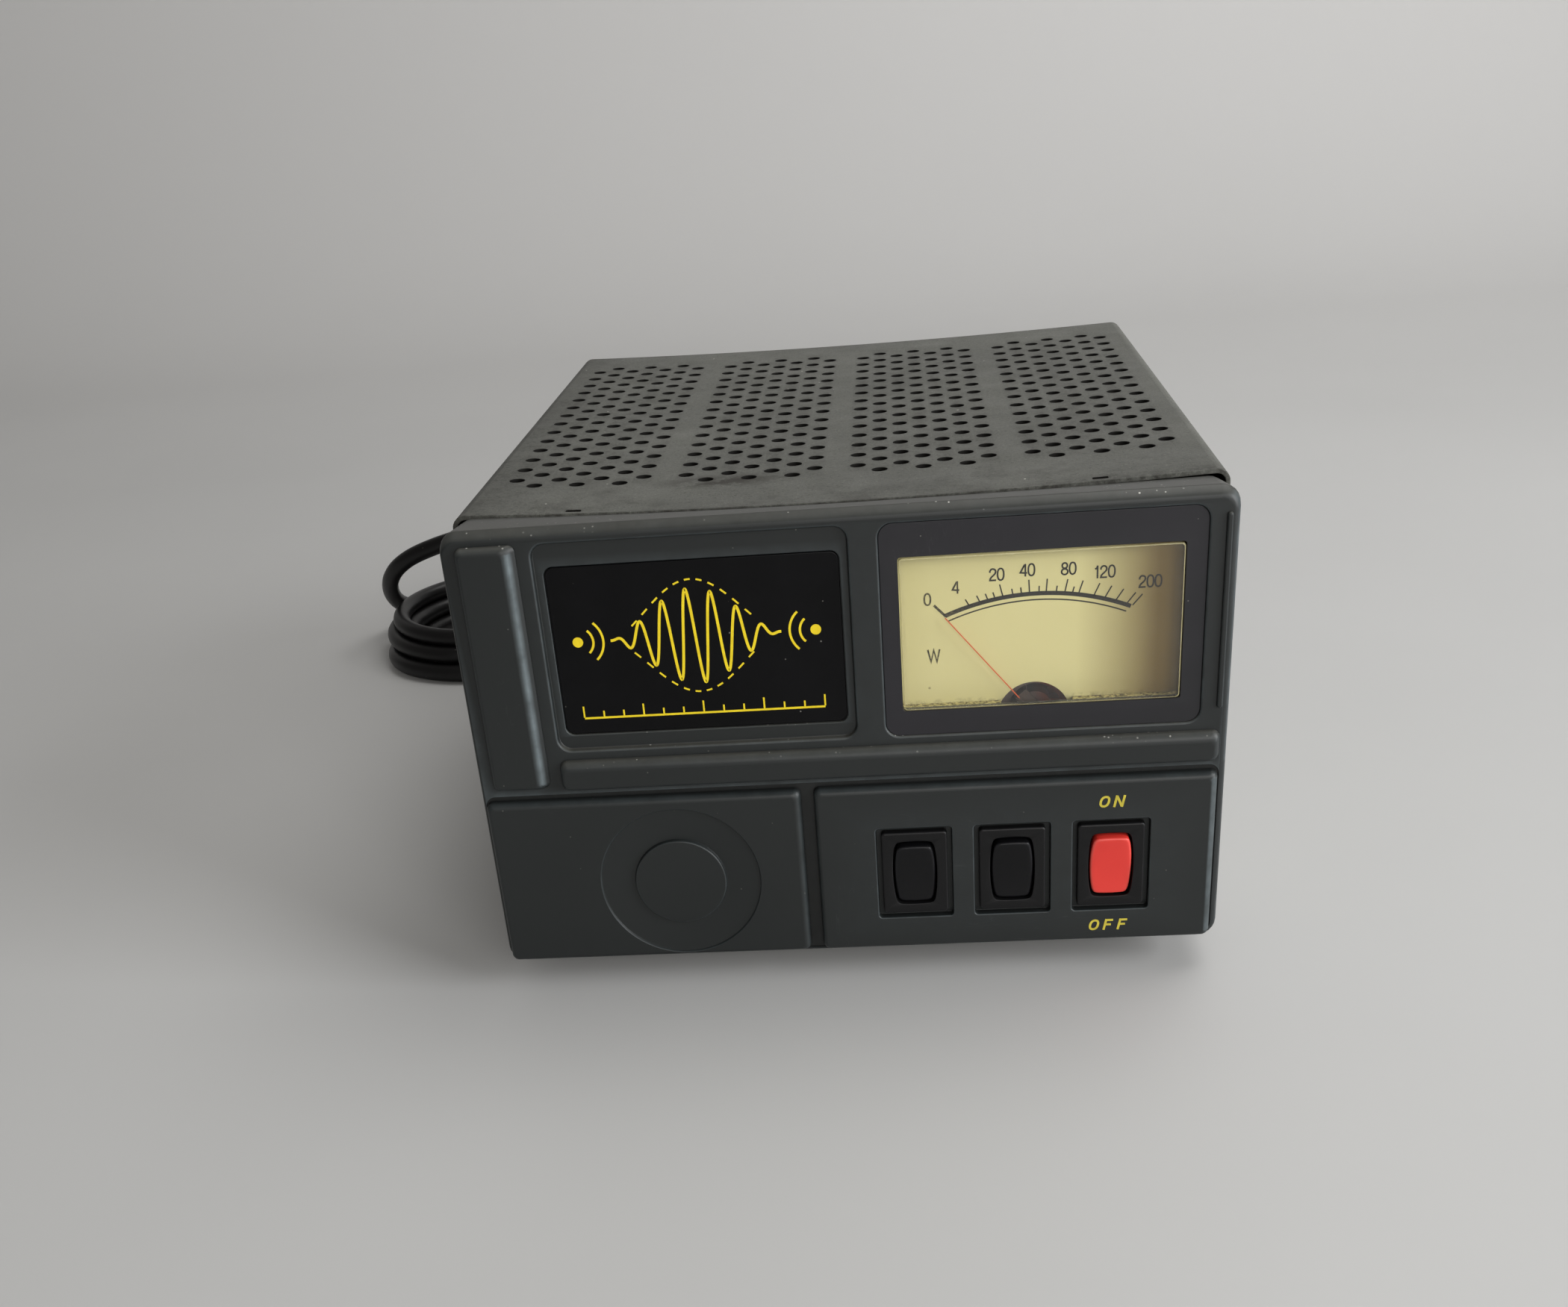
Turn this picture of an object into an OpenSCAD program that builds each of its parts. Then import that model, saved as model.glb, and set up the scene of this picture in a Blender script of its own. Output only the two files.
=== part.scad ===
// Mains powered shortwave linear amplifier in a desktop metal cabinet:
// a moulded front bezel with an output power meter, a dark window panel and
// three rocker switches, a vented U-shaped cover over a folded chassis pan,
// and the power supply, valves and output filter inside.
// Millimetres. +Z is up and the front faces -Y. The origin lies under the
// middle of the amplifier, on the surface that the four feet stand on.

/* [Cabinet] */
// Width of the moulded front bezel
bezel_w = 166; // [165:0.5:167]
// Height of the moulded front bezel
bezel_h = 104; // [103.5:0.5:105]
// Depth of the bezel from its front plane to its rear rim
bezel_d = 18.5; // [18:0.5:19]
// Rear edge of the cover, behind the bezel's front plane
cover_back = 202; // [202:0.5:206]
// Overall width of the cover
cover_w = 167.8; // [167.6:0.1:168.6]
// Height of the cover's top corners above the bezel's lower edge
cover_top = 103.2; // [103.2:0.1:104]
// How far the middle of the cover's top dips between its sides
cover_sag = 1.7; // [1:0.1:2.4]
// Thickness of the cover's sheet steel
cover_t = 1; // [0.8:0.1:1.2]
// Height of the rubber feet below the bezel's lower edge
foot_h = 7; // [6:0.5:9]

/* [Vents] */
// Distance between neighbouring columns of vent holes
vent_pitch = 5; // [4.6:0.1:5]
// Diameter of one vent hole
vent_d = 3.5; // [3:0.1:3.8]
// Columns of holes in one group
vent_cols = 7; // [5:2:7]
// Groups of columns across the cover
vent_groups = 4; // [2:2:4]
// Holes in the longer columns
vent_rows = 15; // [8:1:15]
// First row of the longer columns, behind the bezel's front plane
vent_first = 43.8; // [40:0.2:48]

/* [Meter] */
// Angle that the pointer swings through from zero to full scale, in degrees
meter_sweep = 79; // [60:1:80]
// Length of the pointer from its shaft to its tip
pointer_len = 30.4; // [26:0.2:31]

/* [Rockers] */
// Tilt of a rocker to each side of its middle, in degrees
rocker_tilt = 7; // [5:1:8]
// Height of a rocker's face
rocker_h = 15; // [14:0.2:15.2]
// Width of a rocker's face at its waist
rocker_w = 9.3; // [9:0.1:9.4]

/* [Cord] */
// Outer diameter of the mains cord
cord_d = 6.2; // [5.8:0.1:6.4]
// Radius of the middle turn of the coiled cord
coil_r = 36; // [34:0.5:36]

/* [Hidden] */
$fn = 48;

front_y = -1.2;                      // raised front faces of the bezel
base_y = 0.8;                        // the bezel's lower front level
floor_y = 2.0;                       // floors of the two window recesses
back_y = 4.0;                        // rear of the bezel's front wall
wall_y0 = bezel_d;                   // chassis front wall
wall_t = 1;
rear_y = 199.5;                      // outer face of the rear wall
socket_y = 213.1;                    // rear ends of the two sockets
rocker_y = -2.3;                     // foremost edges of the three rockers
y_shift = -(rocker_y + socket_y) / 2;
hw = bezel_w / 2;
ch = cover_w / 2;
sw_x = [14.5, 36.45, 58.4];          // middles of the three switches
sw_z = 20.6;
piv = [42.3, 55];                    // pointer shaft, across and up
needle_a = 129.5;                    // pointer's angle at zero, from +X
pivot_y = 0.6;                       // rocker pivots, behind the front plane
fx = 68;                             // feet, to each side
fy = [34, 184];                      // feet, front to back
valve_at = [[-45, 142], [-45, 98]];
cap_at = [[18, 55], [46, 55]];
sock_x = [18, 54];                   // antenna and radio sockets
sock_z = 76;
fuse_at = [-22, 76];
cord_x = -70;
cord_z = 46;
coil_c = [-138.7, 257.4];              // middle of the coiled cord
lay_z = -foot_h;                     // the surface it stands on
cr = cord_d / 2;

// ---- shared shapes -------------------------------------------------------
module rr(w, h, r) {
    square([w - 2 * r, h], center = true);
    square([w, h - 2 * r], center = true);
    for (x = [-1, 1], y = [-1, 1])
        translate([x * (w / 2 - r), y * (h / 2 - r)]) circle(r = r);
}
// a rounded block seen from the front, from y0 to y1
module plate(x0, x1, z0, z1, y0, y1, r) {
    translate([(x0 + x1) / 2, y1, (z0 + z1) / 2]) rotate([90, 0, 0])
        linear_extrude(y1 - y0) rr(x1 - x0, z1 - z0, r);
}
module block(x0, x1, y0, y1, z0, z1) {
    translate([x0, y0, z0]) cube([x1 - x0, y1 - y0, z1 - z0]);
}
// a cylinder along Y, from y0 to y1
module ycyl(x, z, y0, y1, r) {
    translate([x, y1, z]) rotate([90, 0, 0]) cylinder(r = r, h = y1 - y0);
}
module xcyl(x0, x1, y, z, r) {
    translate([x0, y, z]) rotate([0, 90, 0]) cylinder(r = r, h = x1 - x0);
}
// a turned shape about an axis along Y: [radius, distance behind y0]
module yturn(x, z, y0, pts) {
    translate([x, y0, z]) rotate([-90, 0, 0]) rotate_extrude() polygon(pts);
}
// a pan-headed screw along +Z with its head's underside at z = 0
module screw(r, l, hr, hh) {
    translate([0, 0, -0.4 * hh]) cylinder(r = r, h = l + 0.4 * hh);
    translate([0, 0, -hh]) difference() {
        cylinder(r = hr, h = hh);
        for (a = [0, 90]) rotate(a)
            translate([-hr * 0.6, -0.35, -0.1]) cube([hr * 1.2, 0.7, hh * 0.5]);
    }
}
module placed() { translate([0, y_shift, foot_h]) children(); }

// ---- front ---------------------------------------------------------------
module front_bezel() color([0.20, 0.21, 0.21]) placed() {
    difference() {
        union() {
            difference() {
                plate(-hw, hw, 0, bezel_h, base_y, bezel_d, 4);
                // shallow channel round the two lower pads
                plate(-82.15, 81.9, 1.0, 43.4, base_y - 0.1, base_y + 0.35, 2.2);
            }
            plate(-79.5, -66.6, 45.3, 101, front_y, base_y + 0.1, 1.5);
            plate(-63.8, 81.1, 44.6, 51.6, front_y, base_y + 0.1, 1.5);
            plate(-82, -10.3, 1.2, 42.3, front_y, base_y + 0.5, 1.5);
            plate(-7.5, 81.1, 1.2, 42.3, front_y, base_y + 0.5, 1.5);
            plate(80.1, 81.3, 56.6, 98.9, 0, base_y + 0.1, 0.5);
        }
        plate(-hw + 2.5, hw - 2.5, 2.5, bezel_h - 4.8, back_y, bezel_d + 1, 2);
        plate(-63.5, 3.1, 53.7, 100.7, base_y - 0.1, floor_y, 3);
        plate(-61.6, 1.3, 57.0, 95.4, floor_y - 0.1, 3.0, 2);
        plate(9.4, 76.8, 53.4, 100.6, base_y - 0.1, floor_y, 3);
        plate(13.0, 72.7, 58.8, 93.5, floor_y - 0.1, back_y + 0.1, 1);
        for (x = sw_x) {
            plate(x - 8.55, x + 8.55, sw_z - 11.4, sw_z + 11.4, front_y - 0.1, base_y, 0.8);
            plate(x - 6.6, x + 6.6, sw_z - 9.6, sw_z + 9.6, base_y - 0.1, back_y + 0.1, 0.6);
        }
        // the top falls away to the rear, under the cover's front edge
        translate([-hw - 1, 0, 0]) rotate([90, 0, 90]) linear_extrude(bezel_w + 2)
            polygon([[3.1, bezel_h], [3.1, bezel_h + 1], [19, bezel_h + 1], [19, bezel_h - 3.72]]);
        // sloped right-hand side of the upright pad
        translate([0, 0, 45]) linear_extrude(57)
            polygon([[-68.6, front_y - 0.1], [-66.5, front_y - 0.1], [-66.5, 0.5]]);
        // dished ring round a plain disc
        translate([-39.3, front_y, 20.7]) rotate([-90, 0, 0]) rotate_extrude()
            polygon([[10.6, -0.1], [18.5, -0.1], [18.5, 0.5], [10.6, 1.0]]);
    }
    for (x = [-77, 77], z = [6.2, 97.8]) difference() {
        ycyl(x, z, back_y - 0.5, bezel_d, 2.4);
        ycyl(x, z, bezel_d - 10, bezel_d + 0.1, 1.25);
    }
}
module window_panel() color([0.03, 0.03, 0.035]) placed()
    plate(-61.4, 1.1, 57.2, 95.2, 2.3, 3.0, 1.9);

module meter_faceplate() color([0.17, 0.17, 0.19]) placed() difference() {
    plate(9.45, 76.75, 53.45, 100.55, 1.2, floor_y, 2.95);
    plate(13.3, 72.4, 59.1, 93.2, 1.0, floor_y + 0.2, 0.7);
}
module meter_lens() color([0.85, 0.85, 0.8, 0.4]) placed() difference() {
    plate(13.5, 72.2, 59.3, 93.0, 0.9, 6.1, 0.6);
    block(14.7, 71.0, 2.1, 6.2, 59.2, 93.1);    // open above and below
    block(13.4, 14.8, 3.2, 6.2, 59.2, 93.1);    // short left-hand wall
}
module meter_dial() color([0.84, 0.80, 0.56]) placed() difference() {
    plate(12.2, 73.5, 53.6, 94.4, 6.2, 7.0, 1);
    ycyl(41.8, 54.5, 6.1, 7.1, 8.0);
}
module meter_case() color([0.12, 0.12, 0.12]) placed() difference() {
    plate(11.6, 74.1, 45.6, 95.0, 4.1, 25, 1.5);
    plate(13.1, 72.6, 58.7, 93.6, 4.0, 6.3, 0.8);
    plate(34.6, 50.0, 47.2, 59.5, 4.0, 6.3, 1);
    plate(12.1, 73.6, 53.5, 94.5, 6.1, 7.1, 1);
    plate(13.1, 72.6, 47.2, 93.5, 7.0, 23.5, 0.8);
    plate(34.6, 50.0, 47.2, 56, 6.2, 7.1, 1);
}
module meter_movement() color([0.45, 0.42, 0.40]) placed() {
    x = piv[0];
    z = piv[1];
    difference() {
        ycyl(x, z, 10, 17.4, 7.6);
        ycyl(x, z, 9.9, 17.5, 5.7);
    }
    ycyl(x, z, 10.2, 17.2, 3.7);
    difference() {
        block(x - 6.4, x + 6.4, 12.2, 15.2, z - 1.1, z + 1.1);
        ycyl(x, z, 12.1, 15.3, 0.4);
    }
    // bridges with the two bearings
    difference() {
        union() {
            block(x - 7.4, x + 7.4, 7.8, 8.5, z - 1.3, z + 1.3);
            block(x - 7.4, x + 7.4, 18.9, 19.6, z - 1.3, z + 1.3);
            for (s = [-1, 1]) block(x + s * 6.7 - 0.7, x + s * 6.7 + 0.7, 8.4, 19, z - 1.3, z + 1.3);
            block(x - 2.5, x + 2.5, 19.5, 23.5, z - 1.3, z + 1.3);
        }
        ycyl(x, z, 7.7, 19.7, 0.4);
    }
}
module meter_needle() color([0.85, 0.35, 0.15]) placed()
    translate([piv[0], 0, piv[1]]) rotate([0, -needle_a, 0]) {
        // pointer towards +X of its own frame, shaft along Y
        ycyl(0, 0, 4.3, 8.9, 0.35);
        ycyl(0, 0, 18.3, 19.4, 0.35);
        block(0, pointer_len, 4.6, 4.8, -0.11, 0.11);
        ycyl(0, 0, 4.3, 5.1, 1.0);
        // tail and side arms carry the balance weights
        block(-6, 0, 4.45, 4.95, -0.35, 0.35);
        for (s = [-1, 1]) block(-0.35, 0.35, 4.45, 4.95, s > 0 ? 0 : -4.2, s > 0 ? 4.2 : 0);
        ycyl(-6.0, 0, 4.35, 5.05, 1.0);
        // moving coil round the core
        difference() {
            block(-5.0, 5.0, 8.8, 18.4, -1.6, 1.6);
            block(-4.3, 4.3, 9.5, 17.8, -1.7, 1.7);
        }
    }
module meter_lamps() color([0.9, 0.85, 0.7]) placed() for (x = [24, 61]) {
    translate([x, 17, 88]) rotate([0, 0, 0]) {
        cylinder(r = 2.4, h = 5.4);
        translate([0, 0, -5]) cylinder(r = 2.1, h = 5.01);
        translate([0, 0, -5]) sphere(r = 2.1);
    }
}

// ---- rocker switches -----------------------------------------------------
// the outline with bulging sides, half width a at the waist and b at the ends
function bow(a, b, h, n = 12) = concat(
    [for (i = [0:n]) let (t = -1 + 2 * i / n) [b + (a - b) * (1 - t * t), t * h / 2]],
    [for (i = [0:n]) let (t = 1 - 2 * i / n) [-b - (a - b) * (1 - t * t), t * h / 2]]);

module switch_body(x) color([0.07, 0.07, 0.07]) placed() difference() {
    union() {
        plate(x - 7.4, x + 7.4, sw_z - 10.25, sw_z + 10.25, front_y, base_y, 0.7);
        plate(x - 6.5, x + 6.5, sw_z - 9.5, sw_z + 9.5, base_y - 0.01, 13, 0.5);
    }
    translate([x, 10.5, sw_z]) rotate([90, 0, 0])
        linear_extrude(12) polygon(bow(rocker_w / 2 + 0.35, rocker_w / 2 - 0.35, rocker_h + 1.1));
    xcyl(x - 6.0, x + 6.0, pivot_y, sw_z, 1.05);
}
module rocker(x, colour) color(colour) placed()
    translate([x, pivot_y, sw_z]) rotate([rocker_tilt, 0, 0]) {
        intersection() {
            translate([0, 5.2, 0]) rotate([90, 0, 0])
                linear_extrude(7.2) polygon(bow(rocker_w / 2, rocker_w / 2 - 0.7, 16));
            xcyl(-6, 6, 0, 0, sqrt(rocker_h * rocker_h / 4 + 4));
            // the back is narrower, to clear the contacts
            union() {
                block(-6, 6, -2.1, 1.6, -7.5, 7.5);
                block(-3, 3, 1.5, 5.2, -4, 4);
            }
        }
        xcyl(-5.9, 5.9, 0, 0, 1.0);
    }
module switch_terminals() color([0.80, 0.78, 0.70]) placed()
    for (x = sw_x, z = [-6, 0, 6])
        difference() {
            block(x - 2.4, x + 2.4, 13, 21, sw_z + z - 0.4, sw_z + z + 0.4);
            translate([x, 18.5, sw_z + z - 0.5]) cylinder(r = 0.8, h = 1);
        }

// ---- cabinet -------------------------------------------------------------
// outline of the cover seen from the front, inset by t
function dip(x) = cover_sag * (1 - pow(x / ch, 2));
function side_arc(t, s, r = 3) = [for (i = [0:5]) let (a = i * 18)
    [s * (ch - r + (r - t) * cos(a)), cover_top - r + (r - t) * sin(a)]];
function cover_line(t) = concat(
    [[ch - t, 1]], side_arc(t, 1),
    [for (k = [31:-1:0]) let (x = (k - 15.5) * vent_pitch)
        [x, cover_top - t - dip(x)]],
    [for (i = [5:-1:0]) side_arc(t, -1)[i]], [[-ch + t, 1]]);
function reversed(v) = [for (i = [len(v) - 1:-1:0]) v[i]];
// vent hole places: [across, rows, first row]
span = vent_groups * (vent_cols + 1) - 1;
vents = [for (g = [0:vent_groups - 1], c = [0:vent_cols - 1])
    let (k = g * (vent_cols + 1) + c, odd = c % 2 == 1)
    for (i = [0:vent_rows - (odd ? 1 : 2)])
        [(k - (span - 1) / 2) * vent_pitch,
         vent_first + 2 * vent_pitch * (i + (odd ? 0 : 0.5))]];

module top_cover() color([0.40, 0.40, 0.37]) placed() difference() {
    intersection() {
        translate([0, cover_back, 0]) rotate([90, 0, 0])
            linear_extrude(cover_back - bezel_d - 0.2)
            polygon(concat(cover_line(0), reversed(cover_line(cover_t))));
        linear_extrude(cover_top + 1) difference() {
            translate([-ch - 1, bezel_d]) square([cover_w + 2, cover_back - bezel_d + 1]);
            for (v = vents) translate([v[0], v[1]]) circle(d = vent_d);
            for (x = [-57, 57]) translate([x - 1.7, 20]) square([3.4, 1]);
        }
    }
    for (y = [48, 172], s = [-1, 1])
        xcyl(s > 0 ? ch - 2 : -ch - 1, s > 0 ? ch + 1 : -ch + 2, y, 7, 1.8);
}
module cover_screws() color([0.72, 0.70, 0.66]) placed()
    for (y = [48, 172], s = [-1, 1])
        translate([s * ch, y, 7]) rotate([0, -90 * s, 0]) screw(1.5, 7, 3.4, 2);

module chassis() color([0.62, 0.62, 0.60]) placed() difference() {
    union() {
        block(-82.5, 82.5, wall_y0, rear_y, 1, 2);
        block(-80, 80, wall_y0, wall_y0 + wall_t, 1, 99);
        block(-82.5, 82.5, rear_y - 1, rear_y, 1, 99);
        for (s = [-1, 1]) block(s > 0 ? 81.5 : -82.5, s > 0 ? 82.5 : -81.5, wall_y0, rear_y, 1, 13);
    }
    block(10, 75.6, wall_y0 - 1, wall_y0 + 2, 44.6, 95.6);       // meter
    block(4, 69, wall_y0 - 1, wall_y0 + 2, 8.5, 33);             // switches
    for (x = [-77, 77], z = [6.2, 97.8]) ycyl(x, z, wall_y0 - 1, wall_y0 + 2, 1.6);
    for (x = [-fx, fx], y = fy) translate([x, y, 0]) cylinder(r = 2.1, h = 4);
    for (x = [-5.5, 79.4], y = [144, 164]) translate([x, y, 0]) cylinder(r = 1.6, h = 4);
    for (p = board_holes) translate([p[0], p[1], 0]) cylinder(r = 1.6, h = 4);
    for (y = [48, 172], s = [-1, 1])
        xcyl(s > 0 ? 80 : -84, s > 0 ? 84 : -80, y, 7, 1.55);
    for (x = sock_x) {
        ycyl(x, sock_z, rear_y - 2, rear_y + 1, 7.2);
        for (dx = [-9.1, 9.1], dz = [-9.1, 9.1]) ycyl(x + dx, sock_z + dz, rear_y - 2, rear_y + 1, 1.6);
    }
    ycyl(fuse_at[0], fuse_at[1], rear_y - 2, rear_y + 1, 6.4);
    ycyl(cord_x, cord_z, rear_y - 2, rear_y + 1, 5.1);
}
module bezel_screws() color([0.72, 0.70, 0.66]) placed()
    for (x = [-77, 77], z = [6.2, 97.8])
        translate([x, wall_y0 + wall_t, z]) rotate([90, 0, 0]) screw(1.2, 9, 2.4, 1.6);

module feet() color([0.06, 0.06, 0.06]) placed() for (x = [-fx, fx], y = fy)
    translate([x, y, -foot_h]) rotate_extrude()
        polygon([[2, 3.5], [4.2, 3.5], [4.2, 0], [7.4, 0], [8, 0.6], [9, foot_h + 1], [2, foot_h + 1]]);
module foot_screws() color([0.72, 0.70, 0.66]) placed() for (x = [-fx, fx], y = fy)
    translate([x, y, -foot_h + 3.5]) {
        screw(1.9, foot_h + 2.5, 3.6, 2);
        translate([0, 0, foot_h - 1.4]) difference() {
            cylinder(r = 4, h = 2.6, $fn = 6);
            translate([0, 0, -1]) cylinder(r = 1.95, h = 5);
        }
    }

// ---- power supply --------------------------------------------------------
tc = [37.2, 154];
module transformer_core() color([0.30, 0.29, 0.28]) placed() difference() {
    block(tc[0] - 39, tc[0] + 39, tc[1] - 19, tc[1] + 19, 3, 68);
    for (s = [-1, 1])
        block(tc[0] + s * 19.5 - 6.5, tc[0] + s * 19.5 + 6.5, tc[1] - 20, tc[1] + 20, 16, 55);
}
module transformer_winding() color([0.55, 0.40, 0.16]) placed()
    translate([tc[0], tc[1], 16.4]) difference() {
        linear_extrude(38.2) rr(51, 63, 6);
        translate([-13.2, -19.2, -1]) cube([26.4, 38.4, 41]);
    }
module transformer_strap() color([0.66, 0.66, 0.64]) placed() difference() {
    union() {
        difference() {
            block(tc[0] - 40.3, tc[0] + 40.3, tc[1] - 15, tc[1] + 15, 2, 69.3);
            block(tc[0] - 39.1, tc[0] + 39.1, tc[1] - 16, tc[1] + 16, 1, 68.1);
        }
        block(-9.5, tc[0] - 40.2, tc[1] - 15, tc[1] + 15, 2, 3.2);
        block(tc[0] + 40.2, 81.3, tc[1] - 15, tc[1] + 15, 2, 3.2);
    }
    for (x = [-5.5, 79.4], y = [144, 164]) translate([x, y, 1]) cylinder(r = 1.6, h = 4);
}
module transformer_screws() color([0.72, 0.70, 0.66]) placed()
    for (x = [-5.5, 79.4], y = [144, 164]) translate([x, y, 1])
        screw(1.2, 5, x < 0 ? 2.6 : 1.9, 1.2);

// ---- boards --------------------------------------------------------------
board_z = 10;
board_holes = [[-75, 54], [-12, 33], [-75, 166], [-12, 188],
               [3, 33], [73, 46], [3, 84], [73, 84]];
module rf_board() color([0.13, 0.30, 0.14]) placed() difference() {
    block(-79, -8, 29, 192, board_z, board_z + 1.6);
    for (i = [0:3]) translate([board_holes[i][0], board_holes[i][1], board_z - 1]) cylinder(r = 1.6, h = 4);
    for (p = valve_at) translate([p[0], p[1], board_z - 1]) cylinder(r = 6, h = 4);
}
module supply_board() color([0.13, 0.30, 0.14]) placed() difference() {
    block(-1, 77, 29, 88, board_z, board_z + 1.6);
    for (i = [4:7]) translate([board_holes[i][0], board_holes[i][1], board_z - 1]) cylinder(r = 1.6, h = 4);
}
module board_standoffs() color([0.78, 0.66, 0.35]) placed()
    for (p = board_holes) translate([p[0], p[1], 2]) difference() {
        cylinder(r = 3, h = board_z - 2);
        translate([0, 0, -1]) cylinder(r = 1.3, h = 12);
    }
module board_screws() color([0.72, 0.70, 0.66]) placed() for (p = board_holes) {
    translate([p[0], p[1], board_z + 1.6]) rotate([180, 0, 0]) screw(1.2, 4.5, 2.6, 1.8);
    translate([p[0], p[1], 1]) screw(1.2, 4.5, 2.4, 0.9);
}
module rectifier_diodes() color([0.10, 0.10, 0.10]) placed() for (i = [0:3]) {
    xcyl(64, 72, 51 + 8 * i, 15.6, 2.3);
    for (x = [61.5, 74.5]) {
        xcyl(x < 68 ? x : 71.9, x < 68 ? 64.1 : x, 51 + 8 * i, 15.6, 0.5);
        translate([x, 51 + 8 * i, board_z + 1.6]) cylinder(r = 0.5, h = 4.2);
    }
}
module filter_capacitors() color([0.10, 0.16, 0.34]) placed() for (p = cap_at)
    translate([p[0], p[1], board_z + 1.6]) {
        rotate_extrude() polygon([[0, 0], [12.6, 0], [13, 0.5], [13, 2.4], [12.3, 3.2], [13, 4],
            [13, 47.5], [12.4, 48.4], [11.4, 48.4], [11.2, 47.6], [0, 47.6]]);
    }

// ---- radio frequency side ------------------------------------------------
module valve_sockets() color([0.80, 0.78, 0.72]) placed() for (p = valve_at)
    translate([p[0], p[1], board_z + 1.6]) rotate_extrude()
        polygon([[0, 0], [13, 0], [13, 2.4], [15.5, 2.4], [15.5, 4.4], [12.5, 4.4], [12.5, 8.8], [0, 8.8]]);
module power_valves() color([0.75, 0.80, 0.82, 0.5]) placed() for (p = valve_at)
    translate([p[0], p[1], board_z + 1.6 + 8.8]) rotate_extrude()
        polygon(concat([[0, 0], [15.6, 0], [16, 0.5], [16, 11], [15.2, 12.5]],
            [[15.2, 50]], [for (i = [0:8]) let (a = i * 10) [15.2 * cos(a), 50 + 14 * sin(a)]],
            [[4.2, 63.6], [4.2, 71], [3.4, 72], [0, 72]]));
module coil_former() color([0.86, 0.84, 0.78]) placed() {
    xcyl(-70, -20, 60, 29.5, 10.9);
    for (x = [-70, -22]) block(x, x + 2, 50, 70, board_z + 1.6, 29.5);
}
module output_coil() color([0.75, 0.42, 0.22]) placed()
    translate([-64, 60, 29.5]) rotate([0, 90, 0]) rotate_extrude()
        polygon(concat([[11, 0]], [[11, 36]],
            [for (i = [12:-1:0]) each [[13.6, i * 3 - (i > 0 ? 0.6 : 0)], [12.4, max(i * 3 - 1.5, 0)]]]));
module antenna_relay() color([0.16, 0.16, 0.17]) placed() {
    block(-41, -17, 171, 184, board_z + 1.6, board_z + 20);
    block(-42, -16, 170, 185, board_z + 1.6, board_z + 4);
}

// ---- rear wall -----------------------------------------------------------
module socket_shell(x) color([0.80, 0.80, 0.80]) placed() difference() {
    union() {
        difference() {
            block(x - 12.7, x + 12.7, rear_y, rear_y + 1.6, sock_z - 12.7, sock_z + 12.7);
            for (dx = [-9.1, 9.1], dz = [-9.1, 9.1]) ycyl(x + dx, sock_z + dz, rear_y - 1, rear_y + 3, 1.6);
        }
        ycyl(x, sock_z, rear_y + 1.5, socket_y, 7.94);
        ycyl(x, sock_z, rear_y - 5, rear_y + 0.1, 7.1);
    }
    ycyl(x, sock_z, rear_y - 6, socket_y + 1, 6.0);
}
module socket_insulators() color([0.90, 0.89, 0.85]) placed() for (x = sock_x) difference() {
    ycyl(x, sock_z, rear_y - 5, socket_y - 4.5, 6.0);
    ycyl(x, sock_z, rear_y - 6, socket_y, 2.9);
}
module socket_contacts() color([0.80, 0.68, 0.36]) placed() for (x = sock_x) difference() {
    ycyl(x, sock_z, rear_y - 9, socket_y - 1.5, 2.9);
    ycyl(x, sock_z, socket_y - 11.5, socket_y, 2.05);
}
module socket_screws() color([0.72, 0.70, 0.66]) placed()
    for (x = sock_x, dx = [-9.1, 9.1], dz = [-9.1, 9.1])
        translate([x + dx, rear_y + 1.6, sock_z + dz]) rotate([90, 0, 0]) screw(1.45, 6, 2.7, 1.6);
module fuse_holder() color([0.08, 0.08, 0.08]) placed() difference() {
    union() {
        ycyl(fuse_at[0], fuse_at[1], rear_y - 30, rear_y + 0.1, 6.3);
        ycyl(fuse_at[0], fuse_at[1], rear_y, rear_y + 2.2, 8.2);
    }
    ycyl(fuse_at[0], fuse_at[1], rear_y - 28, rear_y + 3, 4.4);
}
module fuse_cap() color([0.08, 0.08, 0.08]) placed() {
    difference() {
        ycyl(fuse_at[0], fuse_at[1], rear_y + 2.25, rear_y + 10, 6.6);
        block(fuse_at[0] - 5, fuse_at[0] + 5, rear_y + 8.8, rear_y + 11, fuse_at[1] - 0.7, fuse_at[1] + 0.7);
    }
    ycyl(fuse_at[0], fuse_at[1], rear_y - 3, rear_y + 2.3, 4.2);
}
module fuse() color([0.85, 0.85, 0.82]) placed() {
    ycyl(fuse_at[0], fuse_at[1], rear_y - 23, rear_y - 3.1, 2.4);
    for (y = [rear_y - 23.1, rear_y - 8.1]) ycyl(fuse_at[0], fuse_at[1], y, y + 5, 2.6);
}
// mains wires from the cord along the left side to the power switch
module wiring_loom() color([0.10, 0.10, 0.10]) placed() {
    x = cord_x - 7;
    ycyl(cord_x, cord_z, 190, rear_y - 3.1, 2.4);
    translate([cord_x, 190, cord_z]) sphere(r = 2.4);
    xcyl(x, cord_x, 190, cord_z, 2.4);
    translate([x, 190, cord_z]) sphere(r = 2.4);
    translate([x, 190, 24]) cylinder(r = 2.4, h = cord_z - 24);
    translate([x, 190, 24]) sphere(r = 2.4);
    ycyl(x, 24, 24.5, 190, 2.4);
    translate([x, 24.5, 24]) sphere(r = 2.4);
    xcyl(x, 55, 24.5, 24, 2.4);
    translate([55, 24.5, 24]) sphere(r = 2.4);
}

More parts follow.
